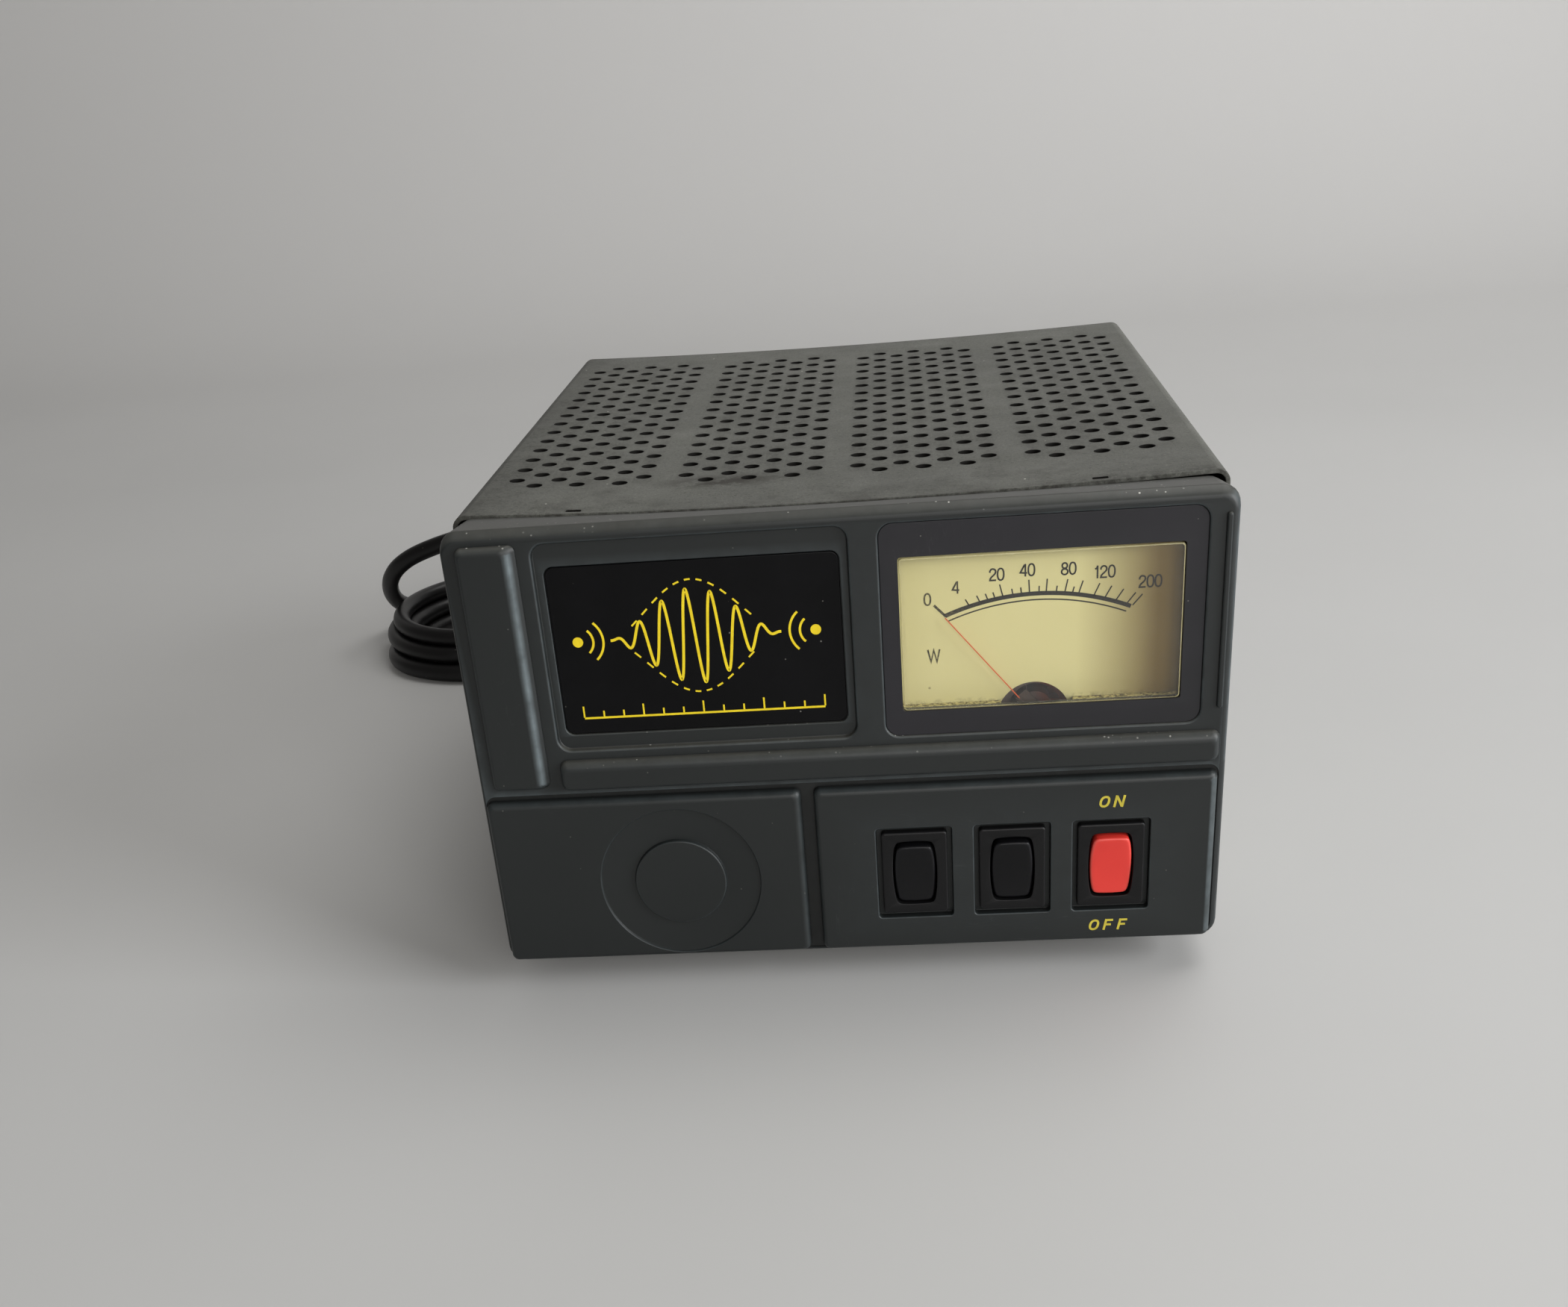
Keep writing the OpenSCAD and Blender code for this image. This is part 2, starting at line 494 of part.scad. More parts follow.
// ---- mains cord ----------------------------------------------------------
// Route of the cord's middle line, from the strain relief to the coil.
lead = [[-70, 223, 46], [-70, 228, 46], [-70.9, 234.7, 46], [-73.5, 241, 45.9],
        [-77.6, 246.4, 45.7], [-83, 250.5, 45.4], [-89.3, 253.1, 44.9], [-96, 254, 44.3],
        [-108, 253.7, 42.4], [-122, 252.8, 40.2], [-136, 251.8, 37.8], [-148, 251.3, 35.2],
        [-158.5, 251.8, 32.3], [-167.4, 253.5, 28.7], [-174.2, 256.7, 24.1], [-178.8, 261.1, 18.9],
        [-181.4, 266.1, 13.8], [-182.5, 271.4, 9], [-182.3, 276.8, 4.8], [-180.4, 282.2, 1.4],
        [-176.9, 287, -1.2], [-171.9, 291, -2.9]];
tail = [[-113.2, 282.9, 7.3], [-107.2, 277.4, 8.3], [-101, 272.6, 8], [-94.2, 268.8, 5.2],
        [-87, 266.4, 1.7], [-79.6, 265.5, 0], [-74, 265.4, -0.2]];
function unit(v) = v / norm(v);
function way(p, i) = unit(p[min(i + 1, len(p) - 1)] - p[max(i - 1, 0)]);
module tube(p, r, sides = 10) {
    n = len(p);
    rings = [for (i = [0:n - 1]) let (t = way(p, i), u = unit(cross(t, [0.31, 0.22, 0.92])), w = cross(t, u))
        for (j = [0:sides - 1]) let (a = 360 * j / sides) p[i] + r * (u * cos(a) + w * sin(a))];
    polyhedron(rings, concat(
        [[for (j = [0:sides - 1]) j]],
        [for (i = [0:n - 2], j = [0:sides - 1]) let (k = (j + 1) % sides)
            each [[i * sides + j, (i + 1) * sides + j, i * sides + k],
                  [i * sides + k, (i + 1) * sides + j, (i + 1) * sides + k]]],
        [[for (j = [sides - 1:-1:0]) (n - 1) * sides + j]]));
}
module strain_relief() color([0.05, 0.05, 0.05]) placed()
    yturn(cord_x, cord_z, rear_y - 3, [[0, 0], [6.4, 0], [6.4, 2], [5, 2], [5, 3],
        [6.6, 3], [6.6, 6], [5.4, 7.5], [4.1, 26.5], [0, 26.5]]);
module cord_lead() color([0.05, 0.05, 0.05]) placed() tube(lead, cr);
module cord_tail() color([0.05, 0.05, 0.05]) placed() tube(tail, cr);
// three turns below, two on them and one on top
module cord_coil() color([0.05, 0.05, 0.05]) placed()
    translate([coil_c[0], coil_c[1], lay_z]) rotate_extrude()
        polygon([[coil_r - 9.4, 1.4], [coil_r - 8.2, 0], [coil_r + 8.2, 0], [coil_r + 9.4, 1.4],
                 [coil_r + 9.4, 4.8], [coil_r + 3.4, 15.8], [coil_r + 1.6, 17.4],
                 [coil_r - 1.6, 17.4], [coil_r - 3.4, 15.8], [coil_r - 9.4, 4.8]]);
// flat two-pin plug lying on its side
plug_at = tail[len(tail) - 1];
module mains_plug() color([0.05, 0.05, 0.05]) placed() translate([plug_at[0], plug_at[1], 0]) {
    translate([16, 0, lay_z]) linear_extrude(13.6) polygon([[0, -5], [5, -8.4], [20, -11.5],
        [24.5, -12.6], [27, -12.6], [27, 12.6], [24.5, 12.6], [20, 11.5], [5, 8.4], [0, 5]]);
    translate([0, 0, lay_z + 6.8]) rotate([0, 90, 0]) rotate_extrude()
        polygon([[0, 0], [3.9, 0], [5, 16.2], [0, 16.2]]);
    for (s = [-1, 1]) translate([42.9, s * 9.3, lay_z + 6.8]) rotate([0, 90, 0]) {
        cylinder(r = 2, h = 17.4);
        translate([0, 0, 17.4]) sphere(r = 2);
    }
}

module left_switch_body() switch_body(sw_x[0]);
module middle_switch_body() switch_body(sw_x[1]);
module power_switch_body() switch_body(sw_x[2]);
module left_rocker() rocker(sw_x[0], [0.05, 0.05, 0.05]);
module middle_rocker() rocker(sw_x[1], [0.05, 0.05, 0.05]);
module power_rocker() rocker(sw_x[2], [0.85, 0.20, 0.16]);
module input_socket() socket_shell(sock_x[0]);
module output_socket() socket_shell(sock_x[1]);

front_bezel();
window_panel();
meter_faceplate();
meter_lens();
meter_dial();
meter_case();
meter_movement();
meter_needle();
meter_lamps();
left_switch_body();
middle_switch_body();
power_switch_body();
left_rocker();
middle_rocker();
power_rocker();
switch_terminals();
top_cover();
cover_screws();
chassis();
bezel_screws();
feet();
foot_screws();
transformer_core();
transformer_winding();
transformer_strap();
transformer_screws();
rf_board();
supply_board();
board_standoffs();
board_screws();
valve_sockets();
power_valves();
output_coil();
coil_former();
antenna_relay();
filter_capacitors();
rectifier_diodes();
input_socket();
output_socket();
socket_insulators();
socket_contacts();
socket_screws();
fuse_holder();
fuse_cap();
fuse();
wiring_loom();
strain_relief();
cord_lead();
cord_coil();
cord_tail();
mains_plug();
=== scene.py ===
"""Looks of the desktop radio amplifier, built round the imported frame."""
import bpy
import bmesh
import math
from mathutils import Vector, Matrix
from mathutils.geometry import tessellate_polygon


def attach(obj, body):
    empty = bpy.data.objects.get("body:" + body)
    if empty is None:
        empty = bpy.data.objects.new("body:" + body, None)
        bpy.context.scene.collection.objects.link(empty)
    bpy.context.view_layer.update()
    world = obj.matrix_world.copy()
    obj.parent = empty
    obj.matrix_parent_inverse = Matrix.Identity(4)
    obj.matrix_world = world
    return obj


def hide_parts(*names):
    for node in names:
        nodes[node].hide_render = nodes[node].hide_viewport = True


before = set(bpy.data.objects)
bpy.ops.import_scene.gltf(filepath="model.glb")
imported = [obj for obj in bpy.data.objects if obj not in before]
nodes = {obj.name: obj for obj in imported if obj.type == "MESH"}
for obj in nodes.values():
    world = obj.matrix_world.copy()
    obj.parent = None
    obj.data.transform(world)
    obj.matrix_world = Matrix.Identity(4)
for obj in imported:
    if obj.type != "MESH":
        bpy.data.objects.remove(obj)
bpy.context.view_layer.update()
scene = bpy.context.scene
Y_SHIFT, FOOT = -105.4, 7.0


def P(x, y, z):
    """Bezel millimetres (across, back from the front plane, up from its lower edge) to the row frame."""
    return Vector((x / 1000.0, (y + Y_SHIFT) / 1000.0, (z + FOOT) / 1000.0))


# ---------------------------------------------------------------- camera ----
cam_data = bpy.data.cameras.new("camera")
cam = bpy.data.objects.new("camera", cam_data)
scene.collection.objects.link(cam)
scene.camera = cam
right = Vector((0.994984, 0.061777, -0.078676))
down = Vector((-0.038711, -0.487442, -0.872297))
ahead = Vector((-0.092238, 0.870967, -0.482606))
cam.matrix_world = Matrix.Translation(P(14.378, -331.770, 192.984)) @ Matrix(
    (right, -down, -ahead)).transposed().to_4x4()
cam_data.sensor_width = 36.0
cam_data.lens = 36.0 * 2183 / 2100
cam_data.shift_x = 25.0 / 2100
cam_data.shift_y = 357.5 / 2100
cam_data.clip_start, cam_data.clip_end = 0.01, 20


# ------------------------------------------------------------- materials ----
class Nodes:
    """A material's node tree, with short calls for the parts used here."""

    def __init__(self, name):
        self.m = bpy.data.materials.new(name)
        self.m.use_nodes = True
        self.t = self.m.node_tree
        self.t.nodes.clear()
        self.out = self.t.nodes.new("ShaderNodeOutputMaterial")
        self.co = self.t.nodes.new("ShaderNodeTexCoord").outputs["Object"]

    def node(self, kind, **kw):
        n = self.t.nodes.new(kind)
        for k, v in kw.items():
            setattr(n, k, v)
        return n

    def link(self, a, b):
        self.t.links.new(a, b)

    def mapped(self, scale=(1, 1, 1), rot=(0, 0, 0), loc=(0, 0, 0)):
        n = self.node("ShaderNodeMapping")
        n.inputs["Scale"].default_value = scale
        n.inputs["Rotation"].default_value = rot
        n.inputs["Location"].default_value = loc
        self.link(self.co, n.inputs["Vector"])
        return n.outputs["Vector"]

    def noise(self, scale, detail=4, rough=0.55, vec=None, dist=0.0):
        n = self.node("ShaderNodeTexNoise")
        n.inputs["Scale"].default_value = scale
        n.inputs["Detail"].default_value = detail
        n.inputs["Roughness"].default_value = rough
        n.inputs["Distortion"].default_value = dist
        self.link(vec if vec is not None else self.co, n.inputs["Vector"])
        return n.outputs["Fac"]

    def ramp(self, fac, lo, hi, a=0.0, b=1.0):
        n = self.node("ShaderNodeMapRange")
        n.inputs["From Min"].default_value = lo
        n.inputs["From Max"].default_value = hi
        n.inputs["To Min"].default_value = a
        n.inputs["To Max"].default_value = b
        self.link(fac, n.inputs["Value"])
        return n.outputs["Result"]

    def math(self, op, a, b=None, clamp=False):
        n = self.node("ShaderNodeMath", operation=op, use_clamp=clamp)
        for i, v in enumerate((a, b)):
            if v is None:
                continue
            if isinstance(v, (int, float)):
                n.inputs[i].default_value = v
            else:
                self.link(v, n.inputs[i])
        return n.outputs[0]

    def mix(self, fac, a, b):
        n = self.node("ShaderNodeMix", data_type="RGBA")
        for s, v in ((n.inputs[0], fac), (n.inputs[6], a), (n.inputs[7], b)):
            if isinstance(v, (int, float)):
                s.default_value = v
            elif isinstance(v, tuple):
                s.default_value = (*v, 1.0)
            else:
                self.link(v, s)
        return n.outputs[2]

    def specks(self, scale, size, share, vec=None, seed=0.0):
        """Sparse round grains: one cell in 1/share holds one."""
        v = self.node("ShaderNodeTexVoronoi", feature="F1")
        v.inputs["Scale"].default_value = scale
        v.inputs["Randomness"].default_value = 1.0
        self.link(vec if vec is not None else self.mapped(loc=(seed, seed * 1.7, seed * 0.3)), v.inputs["Vector"])
        sep = self.node("ShaderNodeSeparateColor")
        self.link(v.outputs["Color"], sep.inputs[0])
        near = self.ramp(v.outputs["Distance"], size, size * 0.55)
        some = self.math("GREATER_THAN", sep.outputs[0], 1.0 - share)
        return self.math("MULTIPLY", near, some, clamp=True)

    def scratches(self, scale, stretch, rot, width, share_lo=0.55):
        """Thin lines running one way, only here and there."""
        vec = self.mapped(scale=stretch, rot=rot)
        n = self.noise(scale, 2, 0.4, vec)
        line = self.ramp(self.math("ABSOLUTE", self.math("SUBTRACT", n, 0.5)), width, 0.0)
        gate = self.ramp(self.noise(scale * 0.45, 1, 0.5), share_lo, share_lo + 0.06)
        return self.math("MULTIPLY", line, gate, clamp=True)

    def attr(self, name="wear_and_highlight"):
        n = self.node("ShaderNodeAttribute", attribute_name=name)
        return n.outputs["Fac"]

    def bump(self, height, strength, distance, under=None):
        n = self.node("ShaderNodeBump")
        n.inputs["Strength"].default_value = strength
        n.inputs["Distance"].default_value = distance
        self.link(height, n.inputs["Height"])
        if under is not None:
            self.link(under, n.inputs["Normal"])
        return n.outputs["Normal"]

    def principled(self, base, rough, normal=None, metallic=0.0, spec=0.5, ior=1.5, coat=0.0,
                   coat_rough=0.1, sub=0.0):
        b = self.node("ShaderNodeBsdfPrincipled")
        for s, v in (("Base Color", base), ("Roughness", rough)):
            if isinstance(v, tuple):
                b.inputs[s].default_value = (*v, 1.0)
            elif isinstance(v, (int, float)):
                b.inputs[s].default_value = v
            else:
                self.link(v, b.inputs[s])
        b.inputs["Metallic"].default_value = metallic
        b.inputs["Specular IOR Level"].default_value = spec
        b.inputs["IOR"].default_value = ior
        b.inputs["Coat Weight"].default_value = coat
        b.inputs["Coat Roughness"].default_value = coat_rough
        if normal is not None:
            self.link(normal, b.inputs["Normal"])
        self.link(b.outputs[0], self.out.inputs["Surface"])
        return b


def srgb(r, g, b):
    return tuple(((c / 255.0) / 12.92 if c <= 10 else (((c / 255.0) + 0.055) / 1.055) ** 2.4) for c in (r, g, b))


def plastic(name, a, b, rough=(0.42, 0.55), grain=2600, grain_h=0.00002, dust=0.0, edge=None, rub_and_highlight=0.3,
            scratch=0.0, spec=0.45, coat=0.0, patch=38, ledge=0.0, groove_shade=0.0):
    """Moulded plastic: slow colour drift, fine spark grain, dust specks and a pale layer on ledges, the layer partly
    painted light on up-facing faces, scratches, rubbed edges that also carry a painted highlight, and painted shade in
    the grooves.
    """
    n = Nodes(name)
    drift = n.ramp(n.noise(patch, 3, 0.5), 0.3, 0.7)
    col = n.mix(drift, a, b)
    fine = n.noise(grain, 3, 0.6)
    r = n.ramp(n.noise(patch * 0.8, 3, 0.5), 0.3, 0.7, rough[0], rough[1])
    if scratch:
        s = n.math("ADD", n.scratches(55, (1, 1, 9), (0, 0.5, 0), 0.006, 0.6), n.scratches(70, (8, 1, 1), (0, 0.35, 0), 0.005, 0.63), clamp=True)
        s = n.math("MULTIPLY", s, scratch)
        col = n.mix(s, col, tuple(min(1.0, c * 3 + 0.05) for c in b))
    if edge is not None:
        # lighter edge colour along rounded edges: rubbing, and on the bezel also a painted highlight
        wear_and_highlight_mix = n.math("MULTIPLY", n.attr(), n.ramp(n.noise(160, 3, 0.6), 0.3, 0.75, 0.35, 1.0))
        col = n.mix(n.math("MULTIPLY", wear_and_highlight_mix, rub_and_highlight, clamp=True), col, edge)
    up = n.node("ShaderNodeSeparateXYZ")
    n.link(n.node("ShaderNodeNewGeometry").outputs["Normal"], up.inputs[0])
    up = n.ramp(up.outputs["Z"], 0.25, 0.85)
    place = n.node("ShaderNodeSeparateXYZ")
    n.link(n.co, place.inputs[0])
    up = n.math("MULTIPLY", up, n.ramp(place.outputs["Z"], 0.052, 0.056))
    if ledge:
        # pale layer on up-facing faces high on the part: dust, and partly painted light on those top faces
        up_dust_and_light = n.math("MULTIPLY", n.ramp(n.noise(240, 6, 0.75), 0.2, 0.7, 0.6, 1.0), up)
        col = n.mix(n.math("MULTIPLY", up_dust_and_light, ledge * 0.5), col, srgb(128, 126, 118))
        lint = n.math("ADD", n.specks(1150, 0.30, 0.10, seed=3.1), n.specks(560, 0.17, 0.12, seed=8.7), clamp=True)
        lint = n.math("MULTIPLY", n.math("MULTIPLY", lint, up), n.ramp(n.noise(70, 3, 0.6), 0.45, 0.62), clamp=True)
        col = n.mix(n.math("MULTIPLY", lint, min(1.0, ledge * 2)), col, srgb(200, 199, 192))
    if groove_shade:
        # painted shade: recessed faces below the bar darkened where the grooves lie in shadow
        low = n.math("MULTIPLY", n.ramp(place.outputs["Y"], -0.10450, -0.10435), n.ramp(place.outputs["Z"], 0.0512, 0.0508))
        low = n.math("MULTIPLY", low, n.ramp(n.noise(400, 5, 0.7), 0.25, 0.6, 0.5, 1.0))
        col = n.mix(n.math("MULTIPLY", low, groove_shade), col, srgb(13, 13, 12))
    if dust:
        d = n.math("ADD", n.specks(820, 0.15, 0.010, seed=1.9), n.specks(300, 0.055, 0.05, seed=5.7), clamp=True)
        col = n.mix(n.math("MULTIPLY", d, min(1.0, dust * 4)), col, srgb(170, 168, 160))
    n.principled(col, r, n.bump(fine, 0.35, grain_h), spec=spec, coat=coat)
    return n.m


def steel(name, a, b, rough=(0.28, 0.42), brushed=(1, 1, 1), spots=0.0):
    n = Nodes(name)
    streak = n.noise(900, 3, 0.6, n.mapped(scale=brushed))
    blot = n.noise(45, 6, 0.65)
    col = n.mix(n.ramp(blot, 0.3, 0.72), a, b)
    if spots:
        col = n.mix(n.math("MULTIPLY", n.ramp(n.noise(300, 6, 0.7), 0.58, 0.72), spots), col, srgb(120, 100, 80))
    r = n.ramp(n.math("ADD", n.math("MULTIPLY", streak, 0.5), n.math("MULTIPLY", blot, 0.5)), 0.3, 0.7, *rough)
    n.principled(col, r, n.bump(streak, 0.2, 0.00001), metallic=1.0)
    return n.m


# bezel: its bluish edge colour is rubbing plus a painted highlight, its pale ledge layer is dust plus painted light,
# its grooves carry painted shade
bezel_mat = plastic("bezel_plastic", srgb(27, 30, 30), srgb(30, 33, 33), rough=(0.40, 0.45), dust=0.05, ledge=0.5,
                    edge=srgb(104, 114, 118), rub_and_highlight=0.38, scratch=0.10, spec=0.36, patch=22, groove_shade=0.6)
recess_mat = plastic("recess_plastic", srgb(34, 34, 36), srgb(38, 37, 41), rough=(0.42, 0.52), dust=0.07,
                     edge=srgb(72, 72, 76), scratch=0.10, spec=0.25, patch=24)
black_mat = plastic("switch_black", srgb(11, 11, 12), srgb(15, 15, 16), rough=(0.34, 0.46), dust=0.10,
                    edge=srgb(60, 60, 62), spec=0.22)
black_rocker_mat = plastic("rocker_black", srgb(10, 10, 12), srgb(14, 14, 16), rough=(0.28, 0.40), dust=0.10,
                           edge=srgb(52, 52, 56), spec=0.22)
red_mat = plastic("rocker_red", srgb(212, 50, 42), srgb(222, 57, 48), rough=(0.32, 0.42), dust=0.10,
                  edge=srgb(250, 138, 126), grain=3200, spec=0.5, patch=60)
rubber_mat = plastic("rubber_black", srgb(10, 9, 10), srgb(15, 14, 15), rough=(0.33, 0.45), dust=0.10,
                     grain=1500, grain_h=0.00004, spec=0.34)
steel_mat = steel("sheet_steel", srgb(178, 178, 174), srgb(205, 204, 198), brushed=(1, 6, 1), spots=0.2)
nickel_mat = steel("nickel", srgb(200, 196, 186), srgb(222, 219, 210), rough=(0.18, 0.34))
screw_mat = steel("screw_steel", srgb(186, 180, 168), srgb(210, 206, 196), rough=(0.25, 0.4), spots=0.25)
brass_mat = steel("contact_brass", srgb(206, 176, 100), srgb(226, 198, 124), rough=(0.22, 0.36))
lam_mat = steel("core_steel", srgb(66, 62, 58), srgb(88, 84, 78), rough=(0.4, 0.55), brushed=(1, 30, 1), spots=0.4)


def cover_material():
    """Stove-enamelled steel: fine black-on-grey fleck, rubbed edges, smudges and dirt."""
    n = Nodes("cover_paint")
    col = n.mix(n.ramp(n.noise(26, 5, 0.6), 0.3, 0.7), srgb(93, 94, 89), srgb(105, 106, 100))
    fleck = n.ramp(n.noise(1500, 3, 0.75), 0.53, 0.66)
    col = n.mix(n.math("MULTIPLY", fleck, 0.6), col, srgb(52, 52, 47))
    pale = n.ramp(n.noise(2100, 2, 0.7, n.mapped(loc=(4, 1, 2))), 0.6, 0.72)
    col = n.mix(n.math("MULTIPLY", pale, 0.5), col, srgb(152, 153, 144))
    # dirt that gathers near the front and in patches
    smudge = n.ramp(n.noise(70, 7, 0.72, n.mapped(loc=(1.3, 0.4, 0))), 0.60, 0.80)
    col = n.mix(n.math("MULTIPLY", smudge, 0.5), col, srgb(62, 60, 54))
    wear_and_highlight_mix = n.math("MULTIPLY", n.attr(), n.ramp(n.noise(500, 5, 0.75), 0.34, 0.62), clamp=True)
    col = n.mix(n.math("MULTIPLY", wear_and_highlight_mix, 0.85), col, srgb(40, 38, 34))
    place = n.node("ShaderNodeSeparateXYZ")
    n.link(n.co, place.inputs[0])
    left = n.math("ADD", n.ramp(place.outputs["X"], -0.066, -0.0835), n.math("MULTIPLY", n.math("SUBTRACT", n.noise(120, 5, 0.7), 0.5), 0.8), clamp=True)
    col = n.mix(n.math("MULTIPLY", left, 0.5), col, srgb(54, 54, 50))
    mottle = n.math("MULTIPLY", n.ramp(place.outputs["X"], -0.052, -0.078), n.ramp(n.noise(620, 5, 0.8), 0.52, 0.60), clamp=True)
    col = n.mix(n.math("MULTIPLY", mottle, 0.55), col, srgb(48, 48, 44))
    spot = n.node("ShaderNodeVectorMath", operation="LENGTH")
    n.link(n.mapped(scale=(70, 190, 0), loc=(1.82, 12.16, 0)), spot.inputs[0])
    dirt = n.math("MULTIPLY", n.ramp(spot.outputs["Value"], 1.25, 0.35), n.ramp(n.noise(210, 6, 0.75), 0.38, 0.52), clamp=True)
    col = n.mix(n.math("MULTIPLY", dirt, 0.95), col, srgb(48, 45, 39))
    soot = n.math("MULTIPLY", n.ramp(place.outputs["Y"], -0.060, -0.069), n.ramp(n.noise(95, 6, 0.7), 0.48, 0.66), clamp=True)
    col = n.mix(n.math("MULTIPLY", soot, 0.4), col, srgb(44, 42, 38))
    d = n.specks(700, 0.22, 0.004, seed=5.3)
    col = n.mix(d, col, srgb(214, 212, 204))
    r = n.ramp(n.noise(90, 6, 0.6), 0.3, 0.7, 0.50, 0.68)
    h = n.math("ADD", n.noise(1300, 4, 0.65), n.math("MULTIPLY", n.noise(240, 3, 0.5), 0.7))
    n.principled(col, r, n.bump(h, 0.6, 0.00008), spec=0.3)
    return n.m


def chassis_material():
    """Plated sheet, bright outside, with painted shade on the faces that look inwards and upwards."""
    n = Nodes("chassis_sheet")
    streak = n.noise(900, 3, 0.6, n.mapped(scale=(1, 6, 1)))
    blot = n.noise(45, 6, 0.65)
    col = n.mix(n.ramp(blot, 0.3, 0.72), srgb(178, 178, 174), srgb(205, 204, 198))
    col = n.mix(n.math("MULTIPLY", n.ramp(n.noise(300, 6, 0.7), 0.58, 0.72), 0.2), col, srgb(120, 100, 80))
    face = n.node("ShaderNodeSeparateXYZ")
    n.link(n.node("ShaderNodeNewGeometry").outputs["Normal"], face.inputs[0])
    place = n.node("ShaderNodeSeparateXYZ")
    n.link(n.co, place.inputs[0])
    # painted shade: faces inside the box darkened as if in shadow
    rear = n.math("MULTIPLY", n.ramp(face.outputs["Y"], -0.4, -0.6), n.ramp(place.outputs["Y"], 0.0, 0.01), clamp=True)
    fore = n.math("MULTIPLY", n.ramp(face.outputs["Y"], 0.4, 0.6), n.ramp(place.outputs["Y"], 0.0, -0.01), clamp=True)
    inward_shade = n.math("ADD", n.math("ADD", rear, fore, clamp=True), n.ramp(face.outputs["Z"], 0.4, 0.6), clamp=True)
    inward_shade = n.math("MULTIPLY", inward_shade, n.ramp(n.noise(60, 4, 0.6), 0.2, 0.6, 0.8, 0.95))
    col = n.mix(inward_shade, col, srgb(30, 28, 25))
    n.principled(col, n.ramp(streak, 0.3, 0.7, 0.30, 0.46), n.bump(streak, 0.2, 0.00001), metallic=1.0)
    return n.m


cover_mat = cover_material()
# painted shade: near-black finish for the cover's underside and the walls of its vent holes
cover_shade_mat = plastic("cover_inside_painted_shade", srgb(17, 16, 15), srgb(24, 23, 21), rough=(0.6, 0.75), grain=1500, spec=0.12)
chassis_mat = chassis_material()


def glass_material():
    n = Nodes("dark_glass")
    haze = n.ramp(n.noise(60, 6, 0.6), 0.45, 0.8)
    col = n.mix(n.math("MULTIPLY", haze, 0.10), srgb(11, 11, 12), srgb(38, 38, 42))
    d = n.math("ADD", n.specks(520, 0.12, 0.02, seed=2.2), n.specks(1100, 0.25, 0.006, seed=6.1), clamp=True)
    col = n.mix(n.math("MULTIPLY", d, 0.55), col, srgb(150, 148, 142))
    fine = n.scratches(60, (9, 1, 1), (0, 0.2, 0), 0.006, 0.62)
    r = n.math("ADD", n.ramp(n.noise(85, 5, 0.6), 0.3, 0.7, 0.16, 0.26), n.math("MULTIPLY", fine, 0.3))
    n.principled(col, r, n.bump(n.noise(700, 2, 0.5), 0.05, 0.00001), spec=0.11)
    return n.m


def print_material(name, a, b, rough=0.5):
    n = Nodes(name)
    col = n.mix(n.ramp(n.noise(380, 5, 0.7), 0.35, 0.7), a, b)
    n.principled(col, n.ramp(n.noise(600, 3, 0.6), 0.3, 0.7, rough - 0.06, rough + 0.08), spec=0.35)
    return n.m


def dial_material():
    """Printed card, warm cream, with painted shade browning its right end and darkening its top edge, and dusty along
    its foot.
    """
    n = Nodes("dial_card")
    sep = n.node("ShaderNodeSeparateXYZ")
    n.link(n.co, sep.inputs[0])
    across = n.ramp(sep.outputs["X"], 0.050, 0.068)
    left = n.ramp(sep.outputs["X"], 0.020, 0.013)
    col = n.mix(n.ramp(n.noise(24, 4, 0.5), 0.3, 0.7), srgb(214, 207, 150), srgb(219, 212, 158))
    col = n.mix(n.math("MULTIPLY", left, 0.25), col, srgb(198, 188, 124))
    # painted shade: the card's right end browned and darkened as if shaded by the right-hand wall
    col = n.mix(n.math("MULTIPLY", n.ramp(n.math("ADD", across, n.math("MULTIPLY", n.noise(60, 3, 0.5), 0.1)), 0.1, 1.1), 0.97), col, srgb(110, 84, 22))
    # painted shadow along the top edge of the card, under the surround
    col = n.mix(n.math("MULTIPLY", n.ramp(sep.outputs["Z"], 0.0965, 0.1005), 0.55), col, srgb(120, 108, 62))
    foot = n.math("MULTIPLY", n.ramp(sep.outputs["Z"], 0.0668, 0.0652), n.ramp(n.noise(620, 6, 0.8), 0.46, 0.60), clamp=True)
    col = n.mix(n.math("MULTIPLY", foot, 0.8), col, srgb(96, 84, 54))
    d = n.specks(260, 0.10, 0.03, seed=1.7)
    col = n.mix(n.math("MULTIPLY", d, 0.6), col, srgb(120, 104, 70))
    n.principled(col, n.ramp(n.noise(200, 4, 0.6), 0.3, 0.7, 0.5, 0.62), n.bump(n.noise(1800, 3, 0.6), 0.15, 0.00001), spec=0.3)
    return n.m


